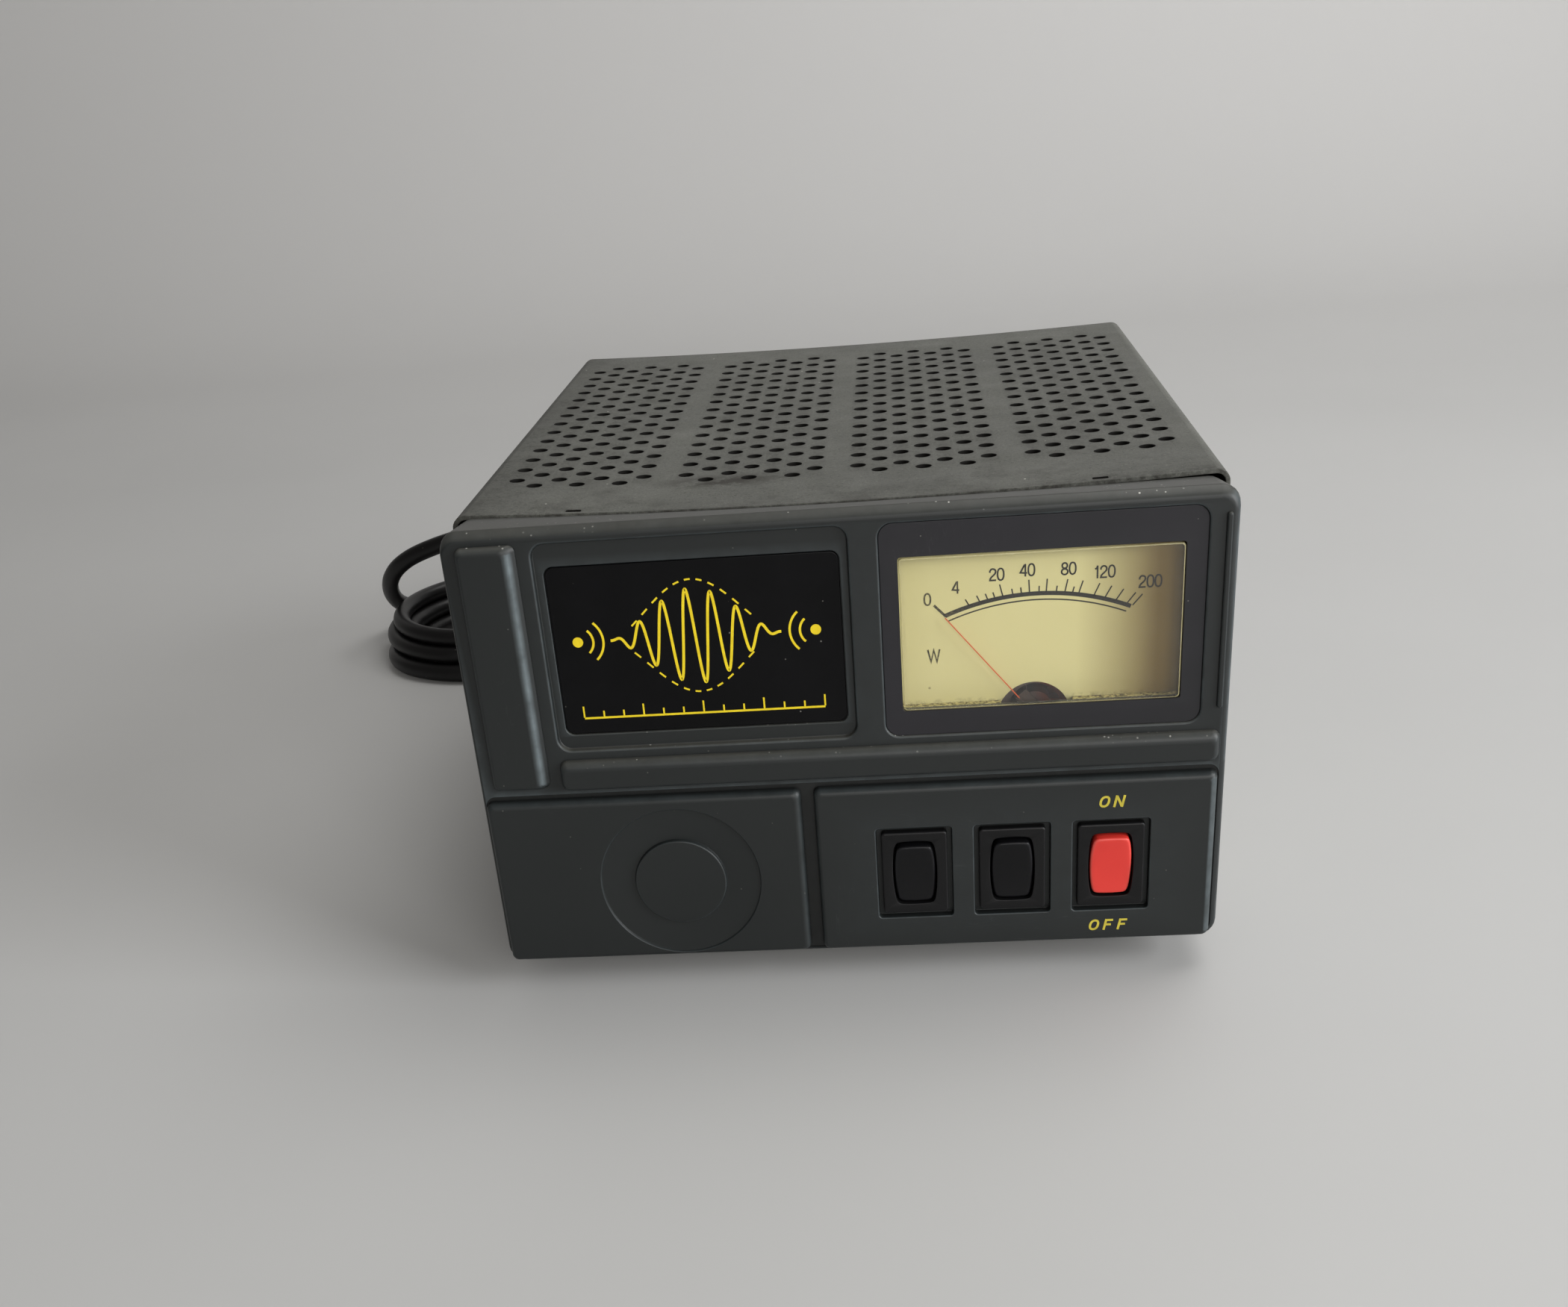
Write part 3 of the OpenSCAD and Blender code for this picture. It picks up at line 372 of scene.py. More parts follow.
def clear_material():
    """Clear moulded window: see-through with a glossy skin, its edges given a cream painted highlight."""
    n = Nodes("clear_window")
    tr = n.node("ShaderNodeBsdfTransparent")
    tr.inputs["Color"].default_value = (0.99, 0.985, 0.965, 1)
    gl = n.node("ShaderNodeBsdfGlossy")
    gl.inputs["Color"].default_value = (1, 1, 1, 1)
    n.link(n.ramp(n.noise(80, 5, 0.6), 0.3, 0.7, 0.03, 0.09), gl.inputs["Roughness"])
    lw = n.node("ShaderNodeLayerWeight")
    lw.inputs["Blend"].default_value = 0.5
    skin = n.math("ADD", n.math("MULTIPLY", n.math("POWER", lw.outputs["Facing"], 5.0), 0.9), 0.036)
    mixn = n.node("ShaderNodeMixShader")
    n.link(skin, mixn.inputs[0])
    n.link(tr.outputs[0], mixn.inputs[1])
    n.link(gl.outputs[0], mixn.inputs[2])
    # painted highlight: cream diffuse colour on the window's rounded edges
    rim = n.node("ShaderNodeBsdfDiffuse")
    n.link(n.mix(n.ramp(n.noise(300, 4, 0.6), 0.3, 0.7), srgb(226, 218, 168), srgb(200, 190, 140)), rim.inputs["Color"])
    top = n.node("ShaderNodeMixShader")
    n.link(n.math("MULTIPLY", n.attr(), 0.42, clamp=True), top.inputs[0])
    n.link(mixn.outputs[0], top.inputs[1])
    n.link(rim.outputs[0], top.inputs[2])
    n.link(top.outputs[0], n.out.inputs["Surface"])
    return n.m


glass_mat = glass_material()
dial_mat = dial_material()
clear_mat = clear_material()
yellow_mat = print_material("yellow_print", srgb(240, 214, 34), srgb(226, 198, 28))
label_mat = print_material("label_print", srgb(206, 190, 70), srgb(176, 162, 52))
def ink_material():
    """Printing ink, thin and broken towards the left end of the scale."""
    n = Nodes("dial_ink")
    sep = n.node("ShaderNodeSeparateXYZ")
    n.link(n.co, sep.inputs[0])
    thin = n.math("MULTIPLY", n.ramp(sep.outputs["X"], 0.031, 0.021), n.ramp(n.noise(1500, 4, 0.7), 0.42, 0.62), clamp=True)
    col = n.mix(n.ramp(n.noise(420, 4, 0.6), 0.35, 0.7), srgb(16, 14, 10), srgb(28, 25, 18))
    col = n.mix(n.math("MULTIPLY", thin, 0.45), col, srgb(150, 142, 98))
    n.principled(col, 0.6, spec=0.2)
    return n.m


ink_mat = ink_material()
def pointer_material():
    """Red-orange enamel on the pointer's arm, bare dark metal round the shaft."""
    n = Nodes("pointer_paint")
    v = n.node("ShaderNodeVectorMath", operation="DISTANCE")
    flat = n.mapped(scale=(1, 0, 1))
    n.link(flat, v.inputs[0])
    v.inputs[1].default_value = (0.0423, 0.0, 0.062)
    arm = n.ramp(v.outputs["Value"], 0.0056, 0.0060)
    paint = n.mix(n.ramp(n.noise(380, 5, 0.7), 0.35, 0.7), srgb(224, 104, 52), srgb(206, 88, 42))
    bare = n.mix(n.ramp(n.noise(500, 4, 0.6), 0.35, 0.7), srgb(64, 54, 50), srgb(92, 78, 72))
    n.principled(n.mix(arm, bare, paint), n.ramp(n.noise(600, 3, 0.6), 0.3, 0.7, 0.36, 0.5), spec=0.35)
    return n.m


orange_mat = pointer_material()
copper_mat = steel("copper_wire", srgb(196, 118, 70), srgb(214, 138, 86), rough=(0.3, 0.45), brushed=(14, 1, 1))
ceramic_mat = print_material("ceramic", srgb(228, 224, 212), srgb(214, 209, 194), 0.4)
sleeve_mat = print_material("capacitor_sleeve", srgb(34, 44, 84), srgb(44, 56, 100), 0.4)
resin_mat = print_material("moulded_resin", srgb(42, 42, 44), srgb(54, 54, 56), 0.5)
def case_material():
    """Dark meter case; its inner ledge carries dust that has fallen from the card."""
    n = Nodes("meter_case_plastic")
    col = n.mix(n.ramp(n.noise(380, 5, 0.7), 0.35, 0.7), srgb(50, 46, 44), srgb(60, 55, 52))
    up = n.node("ShaderNodeSeparateXYZ")
    n.link(n.node("ShaderNodeNewGeometry").outputs["Normal"], up.inputs[0])
    at = n.node("ShaderNodeSeparateXYZ")
    n.link(n.co, at.inputs[0])
    shelf = n.math("MULTIPLY", n.ramp(up.outputs["Z"], 0.6, 0.9), n.ramp(at.outputs["Z"], 0.0670, 0.0664), clamp=True)
    crumbs = n.ramp(n.noise(900, 6, 0.8), 0.44, 0.58)
    dusty = n.mix(crumbs, srgb(222, 212, 150), srgb(84, 72, 46))
    col = n.mix(shelf, col, dusty)
    n.principled(col, n.ramp(n.noise(600, 3, 0.6), 0.3, 0.7, 0.44, 0.58), spec=0.35)
    return n.m


case_mat = case_material()
def movement_material():
    """Darkened moving-coil works, the copper winding showing on one side."""
    n = Nodes("movement_metal")
    sep = n.node("ShaderNodeSeparateXYZ")
    n.link(n.co, sep.inputs[0])
    side = n.ramp(n.math("ADD", sep.outputs["X"], n.math("MULTIPLY", n.noise(300, 2, 0.5), 0.002)), 0.0425, 0.0455)
    col = n.mix(n.ramp(n.noise(260, 4, 0.6), 0.35, 0.7), srgb(88, 76, 72), srgb(120, 106, 100))
    col = n.mix(side, col, srgb(138, 66, 52))
    n.principled(col, n.ramp(n.noise(200, 3, 0.6), 0.3, 0.7, 0.32, 0.5), n.bump(n.noise(900, 3, 0.6), 0.2, 0.00002), metallic=0.55)
    return n.m


movement_mat = movement_material()


def valve_material():
    """Smoked glass bulb with a silvered crown."""
    n = Nodes("valve_glass")
    sep = n.node("ShaderNodeSeparateXYZ")
    n.link(n.co, sep.inputs[0])
    band = n.ramp(n.math("ADD", sep.outputs["Z"], n.math("MULTIPLY", n.noise(90, 3, 0.5), 0.006)), 0.0765, 0.0795)
    col = n.mix(n.ramp(n.noise(240, 3, 0.5), 0.35, 0.7), srgb(52, 46, 40), srgb(72, 64, 56))
    col = n.mix(band, col, srgb(176, 174, 170))
    b = n.principled(col, n.ramp(n.noise(120, 3, 0.6), 0.3, 0.7, 0.06, 0.14), spec=0.7, coat=0.6, coat_rough=0.05)
    n.link(n.math("MULTIPLY", band, 0.8), b.inputs["Metallic"])
    return n.m


def lamp_material():
    n = Nodes("lamp_glass")
    col = n.mix(n.ramp(n.noise(700, 3, 0.5), 0.35, 0.7), srgb(196, 190, 168), srgb(226, 222, 204))
    n.principled(col, n.ramp(n.noise(300, 3, 0.6), 0.3, 0.7, 0.08, 0.16), spec=0.7, coat=0.5, coat_rough=0.05)
    return n.m


def board_material():
    """Green laminate with paler copper tracks under the lacquer."""
    n = Nodes("board_laminate")
    t = n.node("ShaderNodeTexBrick")
    t.inputs["Scale"].default_value = 60
    t.inputs["Mortar Size"].default_value = 0.03
    t.offset = 0.37
    n.link(n.mapped(scale=(1.0, 1.0, 0.2)), t.inputs["Vector"])
    col = n.mix(n.ramp(n.noise(160, 4, 0.6), 0.35, 0.7), srgb(38, 78, 40), srgb(50, 92, 46))
    col = n.mix(n.math("MULTIPLY", t.outputs["Fac"], 0.85), col, srgb(104, 132, 62))
    n.principled(col, n.ramp(n.noise(300, 3, 0.6), 0.3, 0.7, 0.25, 0.4), n.bump(t.outputs["Fac"], 0.3, 0.00005), spec=0.5)
    return n.m


def wound_material(name, a, b, turns, axis=2):
    """A wrapped winding: fine ridges that run round it."""
    n = Nodes(name)
    w = n.node("ShaderNodeTexWave", wave_type="BANDS", bands_direction="XYZ"[axis])
    w.inputs["Scale"].default_value = turns
    w.inputs["Distortion"].default_value = 0.4
    n.link(n.co, w.inputs["Vector"])
    col = n.mix(w.outputs["Fac"], a, b)
    col = n.mix(n.math("MULTIPLY", n.ramp(n.noise(120, 5, 0.65), 0.4, 0.75), 0.3), col, srgb(90, 66, 40))
    n.principled(col, n.ramp(n.noise(220, 3, 0.6), 0.3, 0.7, 0.38, 0.55), n.bump(w.outputs["Fac"], 0.5, 0.0001), spec=0.4)
    return n.m


valve_mat = valve_material()
lamp_mat = lamp_material()
board_mat = board_material()
bobbin_mat = wound_material("winding_tape", srgb(196, 160, 90), srgb(170, 132, 68), 160)


# ----------------------------------------------------------- mesh helpers ---
class Build:
    """Collects vertices in bezel millimetres with an edge-tint value each (rubbed edges and painted highlights), and
    faces.
    """

    def __init__(self):
        self.v, self.w, self.f, self.m = [], [], [], []

    def add(self, p, w=0.0):
        self.v.append(p)
        self.w.append(w)
        return len(self.v) - 1

    def loop(self, pts, w=0.0):
        return [self.add(p, w) for p in pts]

    def strip(self, a, b, mat=0, closed=True):
        n = len(a)
        for i in range(n if closed else n - 1):
            j = (i + 1) % n
            self.f.append((a[i], a[j], b[j], b[i]))
            self.m.append(mat)

    def face(self, ids, mat=0):
        self.f.append(tuple(ids))
        self.m.append(mat)

    def fill(self, loops, axes=(0, 2), mat=0):
        """Triangles inside loops[0] and outside the others, using two coordinates."""
        flat = [i for l in loops for i in l]
        polys = [[Vector((self.v[i][axes[0]], self.v[i][axes[1]], 0)) for i in l] for l in loops]
        for t in tessellate_polygon(polys):
            self.f.append(tuple(flat[k] for k in t))
            self.m.append(mat)

    def obj(self, name, mats, body="cabinet", replaces=(), smooth=38, weighted=True, recalc=True, at=None):
        me = bpy.data.meshes.new(name)
        me.from_pydata([(P(*p) if at is None else Vector(p) / 1000.0) for p in self.v], [], self.f)
        for mt in mats:
            me.materials.append(mt)
        for p, i in zip(me.polygons, self.m):
            p.material_index = i
        # per-vertex edge tint: rubbed edges, and painted highlights on some bezel edges
        a = me.attributes.new("wear_and_highlight", "FLOAT", "POINT")
        a.data.foreach_set("value", self.w)
        bm = bmesh.new()
        bm.from_mesh(me)
        bad = [f for f in bm.faces if f.calc_area() < 1e-13]
        if bad:
            bmesh.ops.dissolve_degenerate(bm, dist=1e-7, edges=bm.edges)
        if recalc:
            bmesh.ops.recalc_face_normals(bm, faces=bm.faces)
        bm.to_mesh(me)
        bm.free()
        me.update()
        ob = bpy.data.objects.new(name, me)
        scene.collection.objects.link(ob)
        me.shade_smooth()
        me.set_sharp_from_angle(angle=math.radians(smooth))
        if weighted:
            mod = ob.modifiers.new("normals", "WEIGHTED_NORMAL")
            mod.mode = "FACE_AREA"
            mod.weight = 100
            mod.keep_sharp = True
        if at is not None:
            ob.matrix_world = at
        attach(ob, body)
        if replaces:
            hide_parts(*replaces)
        return ob


def rr(x0, x1, z0, z1, r, n=6):
    """Rounded rectangle, counter-clockwise seen from the front, 4(n+1) points."""
    out = []
    for cx, cz, a0 in ((x1 - r, z0 + r, -90), (x1 - r, z1 - r, 0), (x0 + r, z1 - r, 90), (x0 + r, z0 + r, 180)):
        for i in range(n + 1):
            a = math.radians(a0 + 90.0 * i / n)
            out.append((cx + r * math.cos(a), cz + r * math.sin(a)))
    return out


def lp(pts, y):
    return [(x, y, z) for x, z in pts]


def circle(cx, cz, r, n=64, a0=0.0):
    return [(cx + r * math.cos(a0 + 2 * math.pi * i / n), cz + r * math.sin(a0 + 2 * math.pi * i / n)) for i in range(n)]


def barrel(a, b, h, p=11.0, bulge=0.03):
    """Barrel outline: half width a at the waist and b at the ends, half height h, rounded corners."""
    rho = [0, .18, .36, .54, .68, .79, .87, .93, .97, 1.0]
    q = []
    for t in rho:
        f = (1 / (1 + t ** p)) ** (1 / p)
        q.append((f, t * f))
    quad = q + [(z, x) for x, z in reversed(q[:-1])]
    pts = []
    for sx, sz, rev in ((1, 1, False), (-1, 1, True), (-1, -1, False), (1, -1, True)):
        s = [(sx * x, sz * z) for x, z in quad]
        if rev:
            s = s[::-1]
        pts += s[:-1]
    return [(x * (b + (a - b) * (1 - z * z)), z * h * (1 + bulge * (1 - x * x))) for x, z in pts]


def extruded(b, pts2, y0, y1, mat=0, chamfer=0.0):
    """A closed prism along Y from a counter-clockwise outline."""
    a = b.loop(lp(pts2, y0))
    c = b.loop(lp(pts2, y1))
    b.strip(a, c, mat)
    b.fill([a], mat=mat)
    b.fill([c], mat=mat)


def ribbon(b, path, width, y0, y1, mat=0, closed=False):
    """A flat printed line along a path of (x, z) points, mitred, from y0 to y1."""
    n = len(path)
    L, R = [], []
    for i, (x, z) in enumerate(path):
        if closed:
            p0, p1 = path[i - 1], path[(i + 1) % n]
        else:
            p0, p1 = path[max(i - 1, 0)], path[min(i + 1, n - 1)]
        d0 = Vector((x - p0[0], z - p0[1]))
        d1 = Vector((p1[0] - x, p1[1] - z))
        if d0.length < 1e-9:
            d0 = d1
        if d1.length < 1e-9:
            d1 = d0
        d0.normalize()
        d1.normalize()
        t = (d0 + d1)
        if t.length < 1e-6:
            t = d0
        t.normalize()
        nrm = Vector((-t[1], t[0]))
        k = width / 2 / max(0.35, abs(nrm.dot(Vector((-d0[1], d0[0])))))
        L.append((x + nrm[0] * k, z + nrm[1] * k))
        R.append((x - nrm[0] * k, z - nrm[1] * k))
    l0, r0 = b.loop(lp(L, y0)), b.loop(lp(R, y0))
    l1, r1 = b.loop(lp(L, y1)), b.loop(lp(R, y1))
    m = n if closed else n - 1
    for i in range(m):
        j = (i + 1) % n
        b.face((r0[i], r0[j], l0[j], l0[i]), mat)
        b.face((r1[i], l1[i], l1[j], r1[j]), mat)
        b.face((l0[i], l0[j], l1[j], l1[i]), mat)
        b.face((r0[j], r0[i], r1[i], r1[j]), mat)
    if not closed:
        b.face((r0[0], l0[0], l1[0], r1[0]), mat)
        b.face((l0[-1], r0[-1], r1[-1], l1[-1]), mat)


def dress(node, *mats):
    """Gives a CAD node its finish."""
    o = nodes[node]
    o.data.materials.clear()
    for m in mats:
        o.data.materials.append(m)


# ------------------------------------------------------------ mains cord ----
CORD_D = 6.2
lead = [(-70, 223, 46), (-70, 228, 46), (-70.9, 234.7, 46), (-73.5, 241, 45.9),
        (-77.6, 246.4, 45.7), (-83, 250.5, 45.4), (-89.3, 253.1, 44.9), (-96, 254, 44.3),
        (-108, 253.7, 42.4), (-122, 252.8, 40.2), (-136, 251.8, 37.8), (-148, 251.3, 35.2),
        (-158.5, 251.8, 32.3), (-167.4, 253.5, 28.7), (-174.2, 256.7, 24.1), (-178.8, 261.1, 18.9),
        (-181.4, 266.1, 13.8), (-182.5, 271.4, 9), (-182.3, 276.8, 4.8), (-180.4, 282.2, 1.4),
        (-176.9, 287, -1.2), (-171.9, 291, -2.9)]
tail = [(-113.2, 282.9, 7.3), (-107.2, 277.4, 8.3), (-101, 272.6, 8), (-94.2, 268.8, 5.2),
        (-87, 266.4, 1.7), (-79.6, 265.5, 0), (-74, 265.4, -0.2)]
COIL = (-138.7, 257.4)
# The wound part: angle round the coil's middle, radius and height of the cord's middle line.
# Three turns lie on the floor, two in the grooves above them and one on top.
WINDING = [(76, 42.2, -3.9), (-130, 42.2, -3.9), (-200, 36, -3.9), (-490, 36, -3.9), (-560, 29.8, -3.9),
           (-775, 29.8, -3.9), (-855, 32.9, 1.7), (-887, 32.9, 2.4), (-920, 32.9, 1.7), (-1110, 32.9, 1.7),
           (-1150, 36, 2.5), (-1190, 39.1, 1.7), (-1400, 39.1, 1.7), (-1480, 36, 7.2), (-1510, 36, 8.5),
           (-1545, 36, 7.2), (-1741, 36, 7.2)]


def coil_points():
    polar = [(124, 45.3, -3.7), (113, 43.9, -3.9), (101, 42.8, -3.9), (88, 42.3, -3.9)]
    a = 75.9
    while a >= -1741:
        for (a0, r0, z0), (a1, r1, z1) in zip(WINDING, WINDING[1:]):
            if a0 >= a >= a1:
                t = (a0 - a) / (a0 - a1)
                t = t * t * (3 - 2 * t)
                polar.append((a, r0 + (r1 - r0) * t, z0 + (z1 - z0) * t))
                break
        a -= 13
    return [(COIL[0] + r * math.cos(math.radians(q)), COIL[1] + r * math.sin(math.radians(q)), z) for q, r, z in polar]


def catmull(pts, step):
    """A smooth line through the points with one point about every step mm."""
    v = [Vector(p) for p in pts]
    out = []
    for i in range(len(v) - 1):
        p0, p1, p2, p3 = v[max(i - 1, 0)], v[i], v[i + 1], v[min(i + 2, len(v) - 1)]
        d = (p2 - p1).length
        n = max(1, round(d / step))
        t1 = (p2 - p0) / max(1e-6, (p2 - p1).length + (p1 - p0).length) * d if i else (p2 - p1)
        t2 = (p3 - p1) / max(1e-6, (p3 - p2).length + (p2 - p1).length) * d if i < len(v) - 2 else (p2 - p1)
        for k in range(n):
            t = k / n
            a = 2 * t ** 3 - 3 * t ** 2 + 1
            b = t ** 3 - 2 * t ** 2 + t
            c = -2 * t ** 3 + 3 * t ** 2
            e = t ** 3 - t ** 2
            out.append(p1 * a + t1 * b + p2 * c + t2 * e)
    out.append(v[-1])
    return out


route = catmull(lead + coil_points() + tail, 2.5)


def tube(name, pts, radius, sides, mat, body="cabinet", replaces=(), start=0.0):
    """A closed tube along points in bezel millimetres, its rings carried without twist."""
    b = Build()
    prev = None
    u = None
    rings = []
    for i, p in enumerate(pts):
        t = (pts[min(i + 1, len(pts) - 1)] - pts[max(i - 1, 0)]).normalized()
        if u is None:
            u = t.cross(Vector((0, 0, 1))).normalized()
        else:
            u = (u - t * u.dot(t)).normalized()
        w = t.cross(u)
        rings.append(b.loop([tuple(p + (u * math.cos(2 * math.pi * j / sides) + w * math.sin(2 * math.pi * j / sides)) * radius)
                             for j in range(sides)]))
    for q, s in zip(rings, rings[1:]):
        b.strip(q, s)
    for ring, p in ((rings[0], pts[0]), (rings[-1], pts[-1])):
        c = b.add(tuple(p))
        for j in range(sides):
            b.face((ring[j], ring[(j + 1) % sides], c))
    return b.obj(name, [mat], body, replaces, smooth=50, weighted=False)


cord_ob = tube("mains_cord", route, CORD_D / 2, 18, rubber_mat, replaces=("cord_lead", "cord_coil", "cord_tail"))


def turned(name, centre, axis, profile, mat, n=48, body="cabinet", replaces=(), wear_and_highlight=None):
    """A closed turned piece: profile of (radius, distance along axis) that starts and ends on the axis or closes."""
    b = Build()
    ax = Vector(axis).normalized()
    u = ax.orthogonal().normalized()
    w = ax.cross(u)
    c = Vector(centre)
    rings = []
    for k, (r, d) in enumerate(profile):
        wv = wear_and_highlight[k] if wear_and_highlight else 0.0
        if r < 1e-6:
            rings.append([b.add(tuple(c + ax * d), wv)])
        else:
            rings.append(b.loop([tuple(c + ax * d + (u * math.cos(2 * math.pi * j / n) + w * math.sin(2 * math.pi * j / n)) * r)
                                 for j in range(n)], wv))
    pairs = list(zip(rings, rings[1:]))
    if len(rings[0]) > 1 and len(rings[-1]) > 1:
        pairs.append((rings[-1], rings[0]))
    for a, d in pairs:
        if len(a) == 1 and len(d) == 1:
            continue
        if len(a) == 1:
            for j in range(n):
                b.face((a[0], d[j], d[(j + 1) % n]))
        elif len(d) == 1:
            for j in range(n):
                b.face((a[j], a[(j + 1) % n], d[0]))
        else:
            b.strip(a, d)
    return b.obj(name, [mat], body, replaces, smooth=35)


# tapered, ribbed strain relief, 26 mm long
prof = [(0, 0), (6.2, 0), (6.4, 0.3), (6.4, 1.9), (5.0, 2.0), (5.0, 3.0), (6.3, 3.0), (6.6, 3.3), (6.6, 5.6), (6.2, 6.1)]
for i in range(6):
    d0 = 7.0 + i * 2.9
    r0 = 5.55 - i * 0.24
    prof += [(r0 - 0.55, d0), (r0 - 0.55, d0 + 0.9), (r0 - 0.12, d0 + 1.15), (r0, d0 + 1.5), (r0 - 0.02, d0 + 2.3), (r0 - 0.15, d0 + 2.6)]
prof += [(3.95, 25.2), (3.8, 26.0), (3.4, 26.5), (0, 26.5)]
relief = turned("cord_strain_relief", (-70, 196.5, 46), (0, 1, 0), prof, rubber_mat, replaces=("strain_relief",))


def plug():
    """Flat two-pin plug on its side, rounded, with grips and a ribbed tail."""
    b = Build()
    px, py, pz = -74.0, 265.4, -0.2

    def section(x, hy, hz, r, w=0.0):
        pts = rr(-hy, hy, -hz, hz, min(r, hy - 0.01, hz - 0.01), 5)
        return b.loop([(px + x, py + a, pz + c) for a, c in pts], w)

    secs = [(0.5, 3.3, 3.3, 3.3), (0.8, 3.8, 3.8, 3.8)]
    for i in range(5):
        x0 = 1.4 + i * 2.8
        r0 = 4.0 + i * 0.18
        secs += [(x0, r0, r0, r0), (x0 + 1.5, r0 + 0.12, r0 + 0.12, r0 + 0.12), (x0 + 1.7, r0 - 0.5, r0 - 0.5, r0 - 0.5), (x0 + 2.6, r0 - 0.45, r0 - 0.45, r0 - 0.45)]
    secs += [(15.6, 4.9, 4.9, 4.5), (17.2, 5.6, 5.5, 4.6), (20, 7.6, 6.2, 4.8), (24, 9.6, 6.6, 4.8), (29, 10.6, 6.75, 4.6),
             (33, 10.9, 6.78, 4.2), (36, 11.4, 6.8, 3.6), (38.6, 12.2, 6.8, 3.0), (40.2, 12.55, 6.75, 2.6), (42.2, 12.55, 6.7, 2.4), (42.8, 12.2, 6.4, 2.2), (43.0, 11.7, 5.9, 2.0)]
    rings = [section(*s) for s in secs]
    for q, s in zip(rings, rings[1:]):
        b.strip(q, s)
    for ring, x in ((rings[0], secs[0][0]), (rings[-1], secs[-1][0])):
        c = b.add((px + x, py, pz))
        for j in range(len(ring)):
            b.face((ring[j], ring[(j + 1) % len(ring)], c))
    body = b.obj("plug_body", [rubber_mat], smooth=40, replaces=("mains_plug",))
    for k, s in enumerate((-1, 1)):
        turned(f"plug_pin_{k + 1}", (px + 42.6, py + s * 9.3, pz), (1, 0, 0),
               [(0, 0), (1.95, 0), (1.95, 10.0), (2.0, 10.05), (2.0, 17.6), (1.9, 18.3), (1.5, 19.0), (0.8, 19.55), (0, 19.7)],
               nickel_mat, n=28)
        turned(f"plug_pin_sleeve_{k + 1}", (px + 42.9, py + s * 9.3, pz), (1, 0, 0),
               [(1.9, 0), (2.0, 0), (2.0, 9.7), (1.9, 9.7)], rubber_mat, n=28)
    # grip ridges on both broad faces
    for k, (x, sz) in enumerate([(x, sz) for x in (24.5, 27.5, 30.5) for sz in (-1, 1)]):
        g = Build()
        z0 = pz + sz * 6.3
        z1 = pz + sz * (6.8 if sz > 0 else 6.78)
        lo = g.loop([(px + x + a, py + c, z0) for a, c in rr(-0.8, 0.8, -5.5, 5.5, 0.7, 3)])
        hi = g.loop([(px + x + a, py + c, z1) for a, c in rr(-0.5, 0.5, -5.2, 5.2, 0.45, 3)])
        g.strip(lo, hi)
        g.fill([lo], (0, 1))
        g.fill([hi], (0, 1))
        g.obj(f"plug_grip_{k + 1}", [rubber_mat])
    return body


plug_ob = plug()


# ----------------------------------------------------------------- bezel ----
def arc_steps(n=6):
    return [math.radians(90.0 * i / n) for i in range(n + 1)]


def raised(b, x0, x1, z0, z1, r, y_low, y_top, fl, fr, fb, ft, depth=1.0, slope=None):
    """A raised pad: returns its foot loop and its top loop. fl, fr, fb, ft are the edge roundings seen from the front."""
    foot = b.loop(lp(rr(x0, x1, z0, z1, r), y_low))
    prev = foot
    m = (fl + fr + fb + ft) / 4
    for k, a in enumerate(arc_steps()):
        i = 1 - math.cos(a)
        y = y_top + depth * (1 - math.sin(a))
        e = fr * i if slope is None else slope[k]
        pts = rr(x0 + fl * i, x1 - e, z0 + fb * i, z1 - ft * i, max(0.35, r - min(fl, fr, fb, ft) * 0.5 * i))
        cur = b.loop(lp(pts, y), (0.0, 0.1, 0.3, 0.4, 0.3, 0.1, 0.0)[k])
        b.strip(prev, cur)
        prev = cur
    return foot, prev


def sunk(b, x0, x1, z0, z1, r, y_top, y_floor, lip=0.45, draft=0.12, foot=0.25, mat_wall=0, mat_floor=None):
    """A recess: returns its rim loop (in the upper face) and its floor loop."""
    rim = b.loop(lp(rr(x0 - lip, x1 + lip, z0 - lip, z1 + lip, r + lip), y_top), 0.1)
    prev = rim
    for k, a in enumerate(arc_steps(4)[1:]):
        i = math.sin(a)
        y = y_top + lip * (1 - math.cos(a))
        cur = b.loop(lp(rr(x0 - lip * (1 - i), x1 + lip * (1 - i), z0 - lip * (1 - i), z1 + lip * (1 - i), r + lip * (1 - i)), y),
                     (0.6, 1.0, 0.6, 0.1)[k])
        b.strip(prev, cur, mat_wall)
        prev = cur
    d = draft
    low = b.loop(lp(rr(x0 + d, x1 - d, z0 + d, z1 - d, max(0.3, r - d)), y_floor - foot))
    b.strip(prev, low, mat_wall)
    prev = low
    for a in arc_steps(3)[1:]:
        i = 1 - math.cos(a)
        y = y_floor - foot * (1 - math.sin(a))
        e = d + foot * i
        cur = b.loop(lp(rr(x0 + e, x1 - e, z0 + e, z1 - e, max(0.25, r - e)), y))
        b.strip(prev, cur, mat_wall)
        prev = cur
    return rim, prev


SW_X, SW_Z = (14.5, 36.45, 58.4), 20.6
RING = (-39.3, 20.7)


